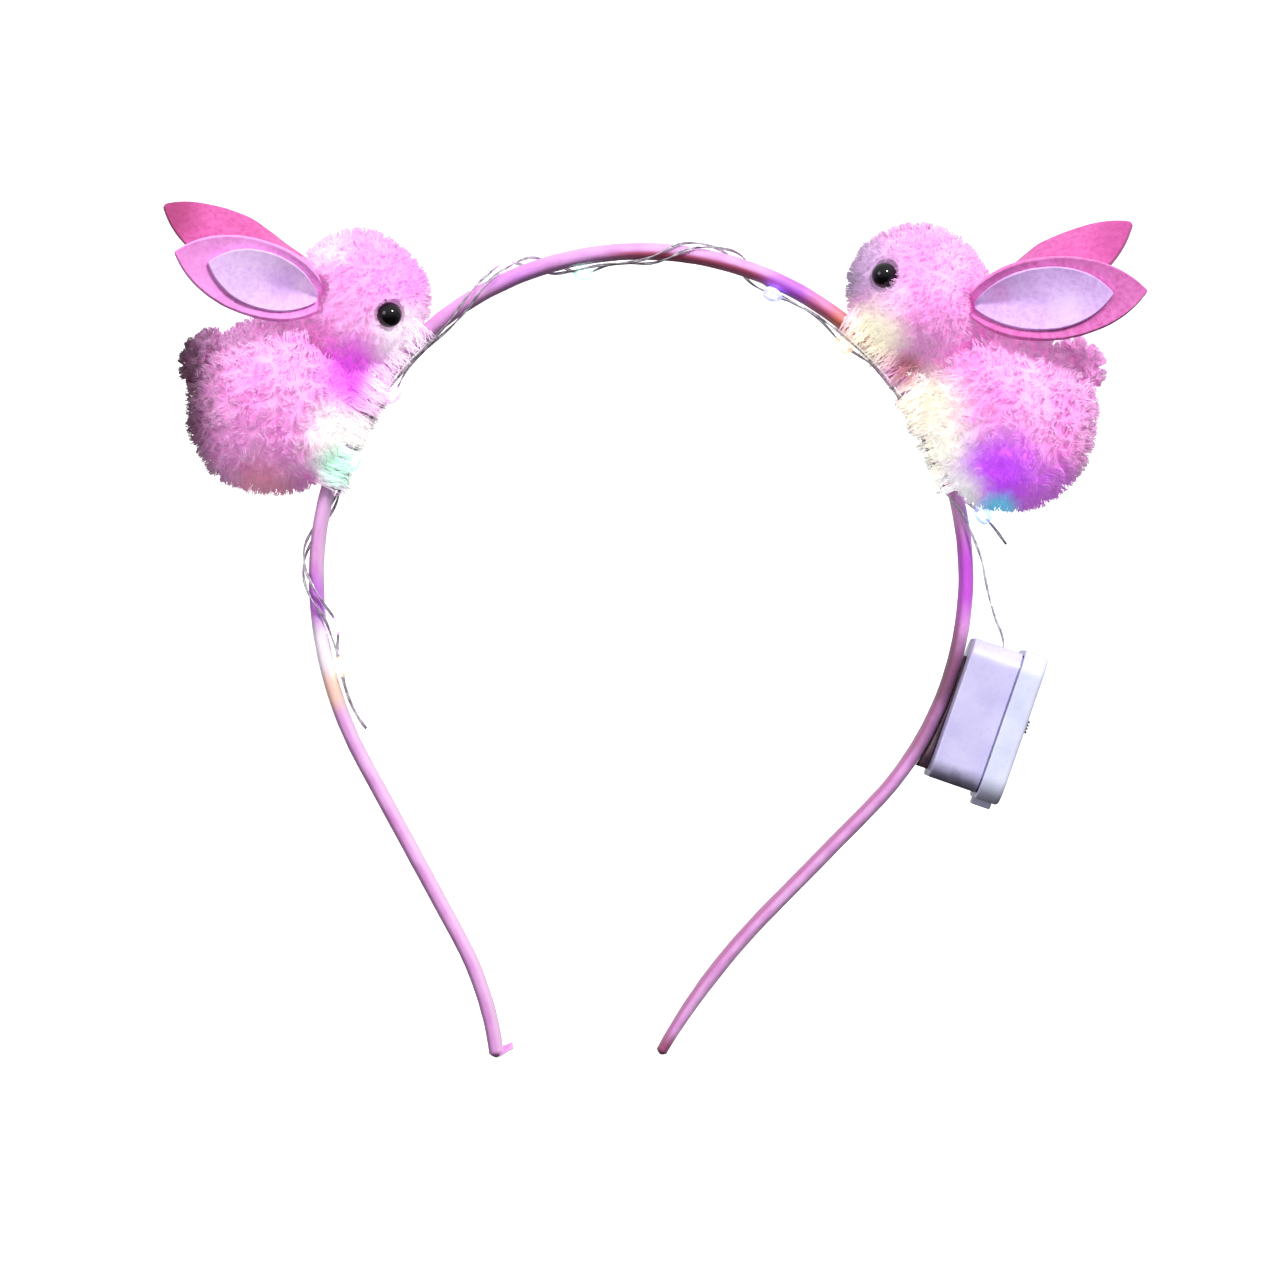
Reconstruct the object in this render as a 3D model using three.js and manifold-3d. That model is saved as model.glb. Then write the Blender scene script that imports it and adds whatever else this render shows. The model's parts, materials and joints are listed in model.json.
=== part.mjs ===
// A light-up animal ears headband: a sprung strip in a satin sleeve, two plush rabbits
// seated on its outside, a string of light drops wound round it and a coin-cell box.
// Millimetres, +Z up, +X to the wearer's left, origin under the middle of the crown.

import * as THREE from 'three';
import { mergeVertices } from 'three/addons/utils/BufferGeometryUtils.js';
import Module from 'manifold-3d';

const wasm = await Module();
wasm.setup();

// ---- Driving dimensions ----

const GAP = 0.3;                    // clearance between neighbouring pieces

// Headband
const BAND_WIDTH = 5.6;             // front to back, over the satin
const BAND_THICKNESS = 2.6;         // over the satin
const SATIN_WALL = 0.4;
const CORE_WIDTH = 3.4;
const CORE_THICKNESS = 0.8;
const CROWN_RADIUS = 58.5;
const LEFT_SIDE_RADIUS = 70;
const RIGHT_SIDE_RADIUS = 59;
const TIP_LENGTH = 1.2;             // the folded and glued end of the sleeve
const FLAP_LENGTH = 3.4;            // the tail of ribbon left standing at one tip
const FLAP_THICKNESS = 0.7;

// Each half of the band, from the crown to its tip
const LEFT_HALF = [arc(CROWN_RADIUS, 90.5), arc(LEFT_SIDE_RADIUS, 28), straight(36), flare(60, 21)];
const RIGHT_HALF = [arc(CROWN_RADIUS, 92), arc(RIGHT_SIDE_RADIUS, 42.5), straight(27), flare(124, 14.5)];
const LEFT_LENGTH = halfLength(LEFT_HALF);
const RIGHT_LENGTH = halfLength(RIGHT_HALF);

// Rabbits: places are stations along the band, heights are above its middle line
const EYE_DIAMETER = 4.7;
const EYE_SUNK = 1.3;               // how far an eye's middle sits inside the fur
const OUTER_FELT = 1.2;
const INNER_FELT = 0.9;
const EAR_ROOT = 2;                 // half the width of an ear where it enters the fur
const FUR_LUMP = 0.035;             // unevenness of a pompom, as a share of its radius
const GROOVE_ROOM = 2.4;            // room for the wound wire where fur closes round the band
const GLUE_THICKNESS = 0.8;
const GLUE_WIDTH = 3.6;
const GLUE_LENGTH = 9;

const RABBITS = [
  {
    name: 'left',
    facing: 1,
    body: { station: -66.4, height: 14.4, size: [15.7, 15, 15.4], phase: 0.4 },
    head: { station: -47.1, height: 12.5, size: [12.8, 11.8, 12.5], phase: 1.9 },
    tail: { forward: 1.9, rise: 11.8, radius: 6.8, phase: 3.1 },
    eye: { forward: 2.4, rise: -6.3 },
    ear: { length: 29.5, width: 14.4, feltLength: 22.4, feltWidth: 9.4 },
    nearEar: { across: -6.3, depth: 7.2, rise: 0.2, turn: 163, fan: 29, roll: 0 },
    farEar: { across: -8.4, depth: 4, rise: 5.7, turn: 156, fan: 4, roll: 37 },
  },
  {
    name: 'right',
    facing: -1,
    body: { station: 68.2, height: 12.9, size: [16.2, 15.6, 16.6], phase: 5.2 },
    head: { station: 46.3, height: 12.4, size: [13.7, 12, 12.7], phase: 4.3 },
    tail: { forward: 3.4, rise: 14.4, radius: 5.8, phase: 0.9 },
    eye: { forward: 7.6, rise: -2.3 },
    ear: { length: 32.4, width: 15.8, feltLength: 25.6, feltWidth: 11.2 },
    nearEar: { across: 8.6, depth: 7.2, rise: -1.6, turn: 4, fan: 19, roll: 0 },
    farEar: { across: 9.4, depth: 4, rise: -0.6, turn: 26, fan: 2, roll: -42 },
  },
];

// Light string: one fine two-core wire, out along the band, round and back again
const WIRE_DIAMETER = 0.6;
const DROP_LENGTH = 3.8;
const DROP_DIAMETER = 2.6;
const STEPS_PER_STRETCH = 2;        // facets of the wire between two route points

// Coin cells
const CELL_DIAMETER = 20;
const CELL_HEIGHT = 3.2;
const CELL_CAN = 2.4;               // height of the wide part of a cell
const CELL_CAP_STEP = 1.2;          // how much narrower its cap is all round

// Battery box: its length and depth follow the cells, and its height the stack in it
const BOX_WALL = 1.3;
const ROOM_ALONG = 3.6;             // what the cells leave free, along and from front to back
const ROOM_ACROSS = 1.4;
const BOX_STATION = 111.6;          // where its flat inner face meets the band
const BOX_SHIFT = 3.8;              // its middle is this far down from that station
const BOX_LENGTH = CELL_DIAMETER + ROOM_ALONG + 2 * BOX_WALL;
const BOX_DEPTH = CELL_DIAMETER + ROOM_ACROSS + 2 * BOX_WALL;
const BOX_UPPER_END = BOX_STATION + BOX_SHIFT - BOX_LENGTH / 2;
const BOX_FLOOR = 1;
const BOX_CORNER = 3.6;
const RIM_HEIGHT = 2;               // what stands up inside the cover
const RIM_STEP = 0.6;
const COVER_OVERHANG = 0.9;
const COVER_HEIGHT = 4.6;
const COVER_TOP = 1;
const TAB_WIDTH = 4.5;
const TAB_REACH = 1.2;
const TAB_THICKNESS = 3.6;
const LEAD_HOLE_HEIGHT = 5.5;
const LEAD_HOLE_SIDE = -6.5;        // front of the middle
const BOX_GLUE_FROM = 121.5;
const BOX_GLUE_TO = 127;
const BOX_GLUE_THICKNESS = 0.5;

const PLATE_THICKNESS = 0.3;
const SPRING_RISE = 1;
const BOARD_LENGTH = 21;
const BOARD_DEPTH = 17;
const BOARD_THICKNESS = 0.6;
const STAKE_DIAMETER = 1.6;
const STAKE_SPREAD = 6.5;           // from the board's middle, front and back
const SWITCH_LENGTH = 8;
const SWITCH_DEPTH = 3.8;
const SWITCH_HEIGHT = 1.1;
const SWITCH_SIDE = -6.4;           // front of the middle
const KNOB_LENGTH = 2.4;
const KNOB_WIDTH = 1.6;
const KNOB_PROUD = 0.7;
const KNOB_TRAVEL = 2;              // it rests at the upper end, with the lights on
const CHIP_DIAMETER = 4;
const CHIP_HEIGHT = 1;
const CHIP_SIDE = 1.6;
const RESISTOR_SIDE = 6.2;
const RESISTOR = [2, 1.2, 0.6];

// ---- Route of the light string ----
// Each point is [station, angle, lift]. The angle turns round the band from its outside
// through its front, so 180 is the inside; the lift is from the satin to the wire's middle.

const RUN_OUT = [
  [BOX_UPPER_END - 1.3, 40, 7.45],
  [BOX_UPPER_END - 3.5, 44.3, 6.15],
  [BOX_UPPER_END - 6.4, 47.5, 4.8],
  [92.6, 49, 3.65],
  [89.1, 51, 2.85],
  [86.5, 56.5, 2.1],
  [83.4, 68.5, 1.4],
  [80.7, 86, 0.95],
  [77.2, 130, 0.9],
  [73.3, 160, 1.85],
  [68, 163, 0.9],
  [58, 160, 0.85],
  [47, 158, 0.85],
  [36, 158, 0.85],
  [30.5, 154, 1.2],
  [25.6, 150, 1.85],
  [21.4, 195, 1],
  [18.5, 252, 0.9],
  [15.8, 308, 0.95],
  [12.5, 350, 0.95],
  [9.5, 374, 0.95],
  [7, 405, 0.9],
  [4.5, 444, 0.9],
  [2, 484, 0.9],
  [-1.2, 512, 0.9],
  [-8, 526, 0.9],
  [-13.5, 540, 0.9],
  [-17, 588, 0.9],
  [-19.8, 645, 1],
  [-24, 705, 1.9],
  [-28, 738, 1],
  [-31.2, 778, 0.9],
  [-34.4, 815, 0.9],
  [-38, 848, 0.9],
  [-42.6, 870, 0.9],
  [-48, 876, 0.9],
  [-57, 878, 0.9],
  [-64.5, 877, 1],
  [-69.6, 875, 1.85],
  [-74.8, 892, 1],
  [-79, 935, 0.9],
  [-82.7, 982, 0.9],
  [-86.2, 1030, 0.95],
  [-89.8, 1075, 1],
  [-93.3, 1112, 0.95],
  [-96.5, 1155, 0.9],
  [-99.8, 1205, 0.9],
  [-104, 1232, 1.1],
  [-109, 1230, 1.85],
  [-114, 1238, 1.1],
  [-118.4, 1242, 1.3],
];

const TURN_BACK = [
  [-120.4, 1247, 1.6],
  [-121.4, 1260, 1.8],
  [-120.4, 1273, 1.6],
];

const RUN_BACK = [
  [-118.2, 1278, 1.3],
  [-113, 1277, 0.95],
  [-107, 1273, 1],
  [-101.2, 1262, 1.9],
  [-97.2, 1210, 1],
  [-93.8, 1160, 1],
  [-90.6, 1118, 1],
  [-87.2, 1078, 1.05],
  [-83.8, 1030, 1],
  [-80.2, 982, 0.95],
  [-76, 938, 0.95],
  [-69.5, 921, 0.9],
  [-61, 915, 0.95],
  [-55.1, 905, 1.9],
  [-49, 910, 0.95],
  [-43.4, 906, 0.95],
  [-38.8, 886, 0.95],
  [-34.8, 856, 0.95],
  [-31.2, 820, 0.95],
  [-27.8, 782, 1],
  [-23.6, 752, 1.05],
  [-19.4, 705, 1],
  [-15.8, 630, 1],
  [-11, 563, 1.9],
  [-6, 562, 0.95],
  [-1.8, 556, 0.95],
  [1.8, 530, 0.95],
  [4.6, 490, 0.95],
  [7.2, 450, 0.95],
  [9.8, 416, 1],
  [12.8, 392, 1],
  [16.4, 358, 1],
  [19, 308, 1],
  [22, 252, 1],
  [27, 208, 0.95],
  [35, 200, 0.95],
  [42.1, 190, 1.9],
  [49, 200, 0.95],
  [60, 201, 0.95],
  [69, 203, 0.9],
  [73.8, 215, 0.95],
  [77, 262, 1.1],
  [79, 312, 1.6],
  [81.6, 343, 2.9],
  [84, 348, 4.6],
  [86.8, 350, 6.4],
];

const DROPS_OUT = [73.3, 25.6, -24, -69.6, -109];
const DROPS_BACK = [-101.2, -55.1, -11, 42.1, 81.6];

// ---- The line of the band ----

function arc(radius, degrees) {
  return { curvature: 1 / radius, length: radius * THREE.MathUtils.degToRad(degrees) };
}

function flare(radius, degrees) {
  return { curvature: -1 / radius, length: radius * THREE.MathUtils.degToRad(degrees) };
}

function straight(length) {
  return { curvature: 0, length };
}

function halfLength(stretches) {
  return stretches.reduce((sum, stretch) => sum + stretch.length, 0);
}

// Where the band's middle line is at a station, which is its length from the crown:
// negative to the left. The heading turns about +Y.
function bandPlace(station) {
  const side = station < 0 ? -1 : 1;
  let rest = Math.abs(station);
  let across = 0;
  let drop = 0;
  let heading = 0;
  for (const { curvature, length } of side < 0 ? LEFT_HALF : RIGHT_HALF) {
    const run = Math.min(rest, length);
    const turn = curvature * run;
    const chord = curvature === 0 ? run : (2 * Math.sin(turn / 2)) / curvature;
    across += chord * Math.cos(heading + turn / 2);
    drop += chord * Math.sin(heading + turn / 2);
    heading += turn;
    rest -= run;
  }
  return { x: side * across, z: BAND_THICKNESS / 2 - drop, heading: side * heading };
}

// A point beside the band: out from its middle line and back from its middle plane
function bandPoint(station, out, back, target = new THREE.Vector3()) {
  const { x, z, heading } = bandPlace(station);
  return target.set(x + out * Math.sin(heading), back, z + out * Math.cos(heading));
}

// A group whose x runs along the band and whose z points out from it
function bandSeat(station, out) {
  const seat = new THREE.Group();
  bandPoint(station, out, 0, seat.position);
  seat.rotation.y = bandPlace(station).heading;
  return seat;
}

class BandLine extends THREE.Curve {
  constructor(from, to, out = 0) {
    super();
    this.from = from;
    this.to = to;
    this.out = out;
  }

  getPoint(t, target = new THREE.Vector3()) {
    return bandPoint(THREE.MathUtils.lerp(this.from, this.to, t), this.out, 0, target);
  }
}

// The wire's line: its steps follow the route points, so they are close where it bends
class WireLine extends THREE.CatmullRomCurve3 {
  getUtoTmapping(u) {
    return u;
  }
}

function woundPoint([station, angle, lift]) {
  const turn = THREE.MathUtils.degToRad(angle);
  const out = (BAND_THICKNESS / 2 + lift) * Math.cos(turn);
  const front = (BAND_WIDTH / 2 + lift) * Math.sin(turn);
  return bandPoint(station, out, -front);
}

// ---- Solids ----

function toSolid(geometry, matrix) {
  const bare = geometry.clone();
  bare.deleteAttribute('normal');
  bare.deleteAttribute('uv');
  bare.applyMatrix4(matrix);
  const merged = mergeVertices(bare);
  const corners = merged.index.array;
  const kept = [];
  for (let i = 0; i < corners.length; i += 3) {
    const [a, b, c] = corners.slice(i, i + 3);
    if (a !== b && b !== c && c !== a) kept.push(a, b, c);
  }
  return new wasm.Manifold(new wasm.Mesh({
    numProp: 3,
    vertProperties: new Float32Array(merged.attributes.position.array),
    triVerts: new Uint32Array(kept),
  }));
}

function toGeometry(solid, matrix) {
  const mesh = solid.getMesh();
  const geometry = new THREE.BufferGeometry();
  geometry.setAttribute('position', new THREE.BufferAttribute(mesh.vertProperties, 3));
  geometry.setIndex(new THREE.BufferAttribute(mesh.triVerts, 1));
  geometry.applyMatrix4(matrix);
  geometry.computeVertexNormals();
  return geometry;
}

const HERE = new THREE.Matrix4();

// Joins and cuts plain geometries that share one local frame
function join(first, ...others) {
  const solid = others.reduce((sum, other) => sum.add(toSolid(other, HERE)), toSolid(first, HERE));
  return toGeometry(solid, HERE);
}

function cut(blank, ...tools) {
  const solid = tools.reduce((rest, tool) => rest.subtract(toSolid(tool, HERE)), toSolid(blank, HERE));
  return toGeometry(solid, HERE);
}

// Cuts a mesh that is already in its place with tools that are in theirs
function carve(mesh, tools) {
  mesh.updateWorldMatrix(true, false);
  let solid = toSolid(mesh.geometry, mesh.matrixWorld);
  for (const tool of tools) {
    tool.updateWorldMatrix(true, false);
    solid = solid.subtract(toSolid(tool.geometry, tool.matrixWorld));
  }
  mesh.geometry = toGeometry(solid, mesh.matrixWorld.clone().invert());
}

function piece(name, geometry, material) {
  const mesh = new THREE.Mesh(geometry, material);
  mesh.name = name;
  return mesh;
}

function finish(color, roughness, metalness = 0) {
  return new THREE.MeshStandardMaterial({ color, roughness, metalness });
}

function ellipse(halfWidth, halfHeight, sides) {
  const shape = new THREE.Shape();
  for (let i = 0; i < sides; i += 1) {
    const turn = (2 * Math.PI * (i + 0.5)) / sides;
    const x = halfWidth * Math.cos(turn);
    const y = halfHeight * Math.sin(turn);
    if (i === 0) shape.moveTo(x, y);
    else shape.lineTo(x, y);
  }
  shape.closePath();
  return shape;
}

function oblong(length, depth, corner) {
  const x = length / 2 - corner;
  const y = depth / 2 - corner;
  const shape = new THREE.Shape();
  shape.absarc(x, y, corner, 0, Math.PI / 2);
  shape.absarc(-x, y, corner, Math.PI / 2, Math.PI);
  shape.absarc(-x, -y, corner, Math.PI, 1.5 * Math.PI);
  shape.absarc(x, -y, corner, 1.5 * Math.PI, 2 * Math.PI);
  shape.closePath();
  return shape;
}

function slab(shape, from, to, curveSegments = 4) {
  const geometry = new THREE.ExtrudeGeometry(shape, {
    depth: to - from,
    bevelEnabled: false,
    curveSegments,
  });
  return geometry.translate(0, 0, from);
}

function block(size, middle) {
  return new THREE.BoxGeometry(...size).translate(...middle);
}

// A round post along z
function post(diameter, from, to, x = 0, y = 0, sides = 12) {
  const geometry = new THREE.CylinderGeometry(diameter / 2, diameter / 2, to - from, sides);
  return geometry.rotateX(Math.PI / 2).translate(x, y, (from + to) / 2);
}

function sweep(shape, line, steps) {
  return new THREE.ExtrudeGeometry(shape, {
    extrudePath: line,
    steps,
    bevelEnabled: false,
    curveSegments: 4,
  });
}

// ---- Headband ----

const SATIN = [0xe19ee1, 0.42];

function bandCore() {
  const section = new THREE.Shape();
  section.moveTo(-CORE_WIDTH / 2, -CORE_THICKNESS / 2);
  section.lineTo(CORE_WIDTH / 2, -CORE_THICKNESS / 2);
  section.lineTo(CORE_WIDTH / 2, CORE_THICKNESS / 2);
  section.lineTo(-CORE_WIDTH / 2, CORE_THICKNESS / 2);
  const line = new BandLine(-LEFT_LENGTH, RIGHT_LENGTH);
  return piece('band_core', sweep(section, line, 60), finish(0xb9bcc2, 0.35, 1));
}

function satinSleeve() {
  const section = ellipse(BAND_WIDTH / 2, BAND_THICKNESS / 2, 10);
  section.holes.push(ellipse(BAND_WIDTH / 2 - SATIN_WALL, BAND_THICKNESS / 2 - SATIN_WALL, 8));
  const line = new BandLine(-LEFT_LENGTH, RIGHT_LENGTH);
  return piece('satin_sleeve', sweep(section, line, 66), finish(...SATIN));
}

// A domed end, as wide and as thick as the sleeve that it closes
function sleeveEnd() {
  const profile = [new THREE.Vector2(0, 0)];
  const rings = 5;
  for (let i = 0; i < rings; i += 1) {
    const rise = (i / rings) * (Math.PI / 2);
    profile.push(new THREE.Vector2(Math.cos(rise), Math.sin(rise)));
  }
  profile.push(new THREE.Vector2(0, 1));
  const geometry = new THREE.LatheGeometry(profile, 12);
  geometry.rotateZ(-Math.PI / 2);
  return geometry.scale(TIP_LENGTH, BAND_WIDTH / 2, BAND_THICKNESS / 2);
}

function bandTips() {
  const left = bandSeat(-LEFT_LENGTH - GAP, 0);
  const right = bandSeat(RIGHT_LENGTH + GAP, 0);
  const leftEnd = sleeveEnd().rotateY(Math.PI);
  const lip = block([FLAP_THICKNESS, BAND_WIDTH * 0.8, FLAP_LENGTH],
    [-FLAP_THICKNESS, 0, -FLAP_LENGTH / 2]);
  left.add(piece('left_tip_fold', join(leftEnd, lip), finish(...SATIN)));
  right.add(piece('right_tip_fold', sleeveEnd(), finish(...SATIN)));
  return [left, right];
}

// ---- Rabbits ----

const FUR = [0xff9aec, 0.95];
const HOT_FELT = [0xe0659f, 0.9];
const PALE_FELT = [0xebcdff, 0.9];

// A trimmed ball of yarn: a sphere with shallow lumps
function pompom(size, detail, phase) {
  const geometry = new THREE.IcosahedronGeometry(1, detail);
  const places = geometry.attributes.position;
  const point = new THREE.Vector3();
  for (let i = 0; i < places.count; i += 1) {
    point.fromBufferAttribute(places, i);
    const wave = Math.sin(4 * point.x + phase) * Math.sin(4.5 * point.y + 2 * phase);
    const ripple = Math.sin(5 * point.z - phase);
    point.multiplyScalar(1 + FUR_LUMP * (wave + 0.5 * ripple));
    places.setXYZ(i, point.x * size[0], point.y * size[1], point.z * size[2]);
  }
  return geometry;
}

function grown(size, extra) {
  return size.map((half) => half + extra);
}

// A pointed leaf of felt from its root at x = 0 to its tip
function leaf(length, width, root) {
  const shape = new THREE.Shape();
  shape.moveTo(0, -root);
  shape.bezierCurveTo(length * 0.26, -width * 0.6, length * 0.78, -width * 0.6, length, 0);
  shape.bezierCurveTo(length * 0.78, width * 0.6, length * 0.26, width * 0.6, 0, root);
  shape.closePath();
  return shape;
}

// Both felts of an ear, and the pocket that its root needs in the head
function ear(rabbit, which, place, side) {
  const { length, width, feltLength, feltWidth } = rabbit.ear;
  const group = new THREE.Group();
  const turn = THREE.MathUtils.degToRad(place.turn);
  const fan = THREE.MathUtils.degToRad(place.fan);
  const roll = THREE.MathUtils.degToRad(place.roll);
  group.position.set(place.across, side * place.depth, place.rise);
  group.rotation.set((-side * Math.PI) / 2 + roll, -turn, side * fan, 'YZX');
  const start = OUTER_FELT + GAP;
  const outer = slab(leaf(length, width, EAR_ROOT), 0, OUTER_FELT, 7);
  const inner = slab(leaf(feltLength, feltWidth, EAR_ROOT), start, start + INNER_FELT, 6);
  group.add(piece(`${rabbit.name}_${which}_ear_outer`, outer, finish(...HOT_FELT)));
  group.add(piece(`${rabbit.name}_${which}_ear_inner`, inner.translate(1, 0, 0), finish(...PALE_FELT)));
  const pocket = slab(leaf(length, width + 2 * GAP, EAR_ROOT + GAP), -GAP, start + INNER_FELT + GAP, 7);
  const tool = new THREE.Mesh(pocket.translate(-GAP, 0, 0));
  group.add(tool);
  return { group, tool };
}

function gluePad(name, station) {
  const half = GLUE_LENGTH / 2;
  const out = BAND_THICKNESS / 2 + GAP + GLUE_THICKNESS / 2;
  const line = new BandLine(station - half, station + half, out);
  const shape = ellipse(GLUE_WIDTH / 2, GLUE_THICKNESS / 2, 8);
  return piece(name, sweep(shape, line, 4), finish(0xf4e6cf, 0.4));
}

// What the underside of a pompom must leave free: the band and its glue pad
function seatTools(station, reach) {
  const band = ellipse(BAND_WIDTH / 2 + GROOVE_ROOM, BAND_THICKNESS / 2 + GROOVE_ROOM, 12);
  const line = new BandLine(station - reach, station + reach, 1.3 * GAP - GROOVE_ROOM);
  const bandRun = sweep(band, line, 14);
  const half = GLUE_LENGTH / 2 + GAP;
  const out = BAND_THICKNESS / 2 + GAP + GLUE_THICKNESS / 2;
  const pad = ellipse(GLUE_WIDTH / 2 + 1.4 * GAP, GLUE_THICKNESS / 2 + 1.4 * GAP, 8);
  const padRun = sweep(pad, new BandLine(station - half, station + half, out), 4);
  return [new THREE.Mesh(bandRun), new THREE.Mesh(padRun)];
}

function rabbitPieces(rabbit) {
  const { name, facing, body, head, tail, eye } = rabbit;
  const bodySeat = bandSeat(body.station, body.height);
  const headSeat = bandSeat(head.station, head.height);
  const headPlace = new THREE.Group();
  headPlace.position.copy(headSeat.position);
  const bodyMesh = piece(`${name}_body`, pompom(body.size, 4, body.phase), finish(...FUR));
  const headMesh = piece(`${name}_head`, pompom(head.size, 4, head.phase), finish(...FUR));
  const tailMesh = piece(`${name}_tail`, pompom([tail.radius, tail.radius, tail.radius], 2, tail.phase),
    finish(...FUR));
  tailMesh.position.set(facing * tail.forward, 0, tail.rise);
  bodySeat.add(bodyMesh, tailMesh);
  headSeat.add(headMesh);

  const headTools = seatTools(head.station, head.size[0]);
  const earTools = [];
  for (const side of [-1, 1]) {
    const which = side < 0 ? 'near' : 'far';
    const made = ear(rabbit, which, side < 0 ? rabbit.nearEar : rabbit.farEar, side);
    headPlace.add(made.group);
    earTools.push(made.tool);
    const bead = new THREE.SphereGeometry(EYE_DIAMETER / 2, 10, 7);
    const socket = new THREE.SphereGeometry(EYE_DIAMETER / 2 + 1.4 * GAP, 10, 7);
    const flatRise = (eye.rise / head.size[2]) ** 2 + (eye.forward / head.size[0]) ** 2;
    const out = head.size[1] * Math.sqrt(1 - flatRise) - EYE_SUNK;
    const beadMesh = piece(`${name}_${which}_eye`, bead, finish(0x0a0508, 0.08));
    const socketMesh = new THREE.Mesh(socket);
    for (const mesh of [beadMesh, socketMesh]) mesh.position.set(facing * eye.forward, side * out, eye.rise);
    headSeat.add(beadMesh, socketMesh);
    headTools.push(socketMesh);
  }

  const grownBody = new THREE.Mesh(pompom(grown(body.size, 1.6 * GAP), 4, body.phase));
  bodySeat.add(grownBody);
  const grownHead = new THREE.Mesh(pompom(grown(head.size, 1.6 * GAP), 4, head.phase));
  headSeat.add(grownHead);
  carve(headMesh, [...headTools, ...earTools]);
  carve(bodyMesh, [...seatTools(body.station, body.size[0]), grownHead, ...earTools]);
  carve(tailMesh, [grownBody, ...earTools]);
  for (const tool of [grownBody, grownHead, ...headTools, ...earTools]) tool.removeFromParent();
  return [
    bodySeat,
    headSeat,
    headPlace,
    gluePad(`${name}_body_glue`, body.station),
    gluePad(`${name}_head_glue`, head.station),
  ];
}

// ---- Light string ----

function stringLine() {
  const inBox = boxPoint(-BOX_LENGTH / 2 + 2.6, LEAD_HOLE_SIDE, LEAD_HOLE_HEIGHT + 1.6);
  const hole = boxPoint(-BOX_LENGTH / 2 + BOX_WALL / 2, LEAD_HOLE_SIDE, LEAD_HOLE_HEIGHT);
  const clear = boxPoint(-BOX_LENGTH / 2 - 0.9, LEAD_HOLE_SIDE, LEAD_HOLE_HEIGHT - 0.5);
  const wound = [...RUN_OUT, ...TURN_BACK, ...RUN_BACK].map(woundPoint);
  return new WireLine([inBox, hole, clear, ...wound], false, 'centripetal');
}

const STRING = stringLine();
const LEAD_POINTS = 3;

function lightWire() {
  const stretches = STRING.points.length - 1;
  const section = ellipse(WIRE_DIAMETER / 2, WIRE_DIAMETER / 2, 6);
  const geometry = sweep(section, STRING, stretches * STEPS_PER_STRETCH);
  return piece('light_wire', geometry, finish(0xc9ccd2, 0.3, 0.8));
}

// A clear drop of resin round the wire at one of its route points
function lightDrop(name, run, station, firstPoint) {
  const index = firstPoint + run.findIndex((point) => point[0] === station);
  const t = index / (STRING.points.length - 1);
  const along = STRING.getTangent(t);
  const blank = new THREE.SphereGeometry(DROP_DIAMETER / 2, 8, 6);
  blank.scale(1, DROP_LENGTH / DROP_DIAMETER, 1);
  const bore = WIRE_DIAMETER / 2 + 1.6 * GAP;
  const channel = new THREE.CylinderGeometry(bore, bore, 2 * DROP_LENGTH, 8);
  const drop = piece(name, cut(blank, channel), finish(0xf4fbff, 0.05));
  drop.position.copy(STRING.points[index]);
  drop.quaternion.setFromUnitVectors(new THREE.Vector3(0, 1, 0), along);
  return drop;
}

function lightDrops() {
  const backStart = LEAD_POINTS + RUN_OUT.length + TURN_BACK.length;
  const out = DROPS_OUT.map((station) => [RUN_OUT, station, LEAD_POINTS]);
  const back = DROPS_BACK.map((station) => [RUN_BACK, station, backStart]);
  return [...out, ...back].map(([run, station, first], i) => {
    const number = String(i + 1).padStart(2, '0');
    return lightDrop(`light_drop_${number}`, run, station, first);
  });
}

// ---- Battery box ----
// In the box's own frame x runs down the band, z points out from it and z = 0 is the
// face that is glued to the band.

function boxSeat() {
  const seat = bandSeat(BOX_STATION, BAND_THICKNESS / 2 + GAP);
  seat.translateX(BOX_SHIFT);
  return seat;
}

function boxPoint(x, y, z) {
  const seat = boxSeat();
  seat.updateMatrixWorld();
  return seat.localToWorld(new THREE.Vector3(x, y, z));
}

const CELL_1_BASE = BOX_FLOOR + GAP + PLATE_THICKNESS + GAP;
const CELL_2_BASE = CELL_1_BASE + CELL_HEIGHT + GAP;
const SPRING_BASE = CELL_2_BASE + CELL_HEIGHT + GAP;
const BOARD_TOP = SPRING_BASE + SPRING_RISE + GAP + BOARD_THICKNESS;
const COVER_UNDERSIDE = BOARD_TOP + GAP + SWITCH_HEIGHT + GAP;
const BOX_HEIGHT = COVER_UNDERSIDE + COVER_TOP - COVER_HEIGHT;
const KNOB_SLOT = [KNOB_LENGTH + KNOB_TRAVEL + 2 * GAP, KNOB_WIDTH + 2 * GAP];
const STAKES = [[-8, -STAKE_SPREAD], [8, -STAKE_SPREAD], [-8, STAKE_SPREAD], [8, STAKE_SPREAD]];

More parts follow.
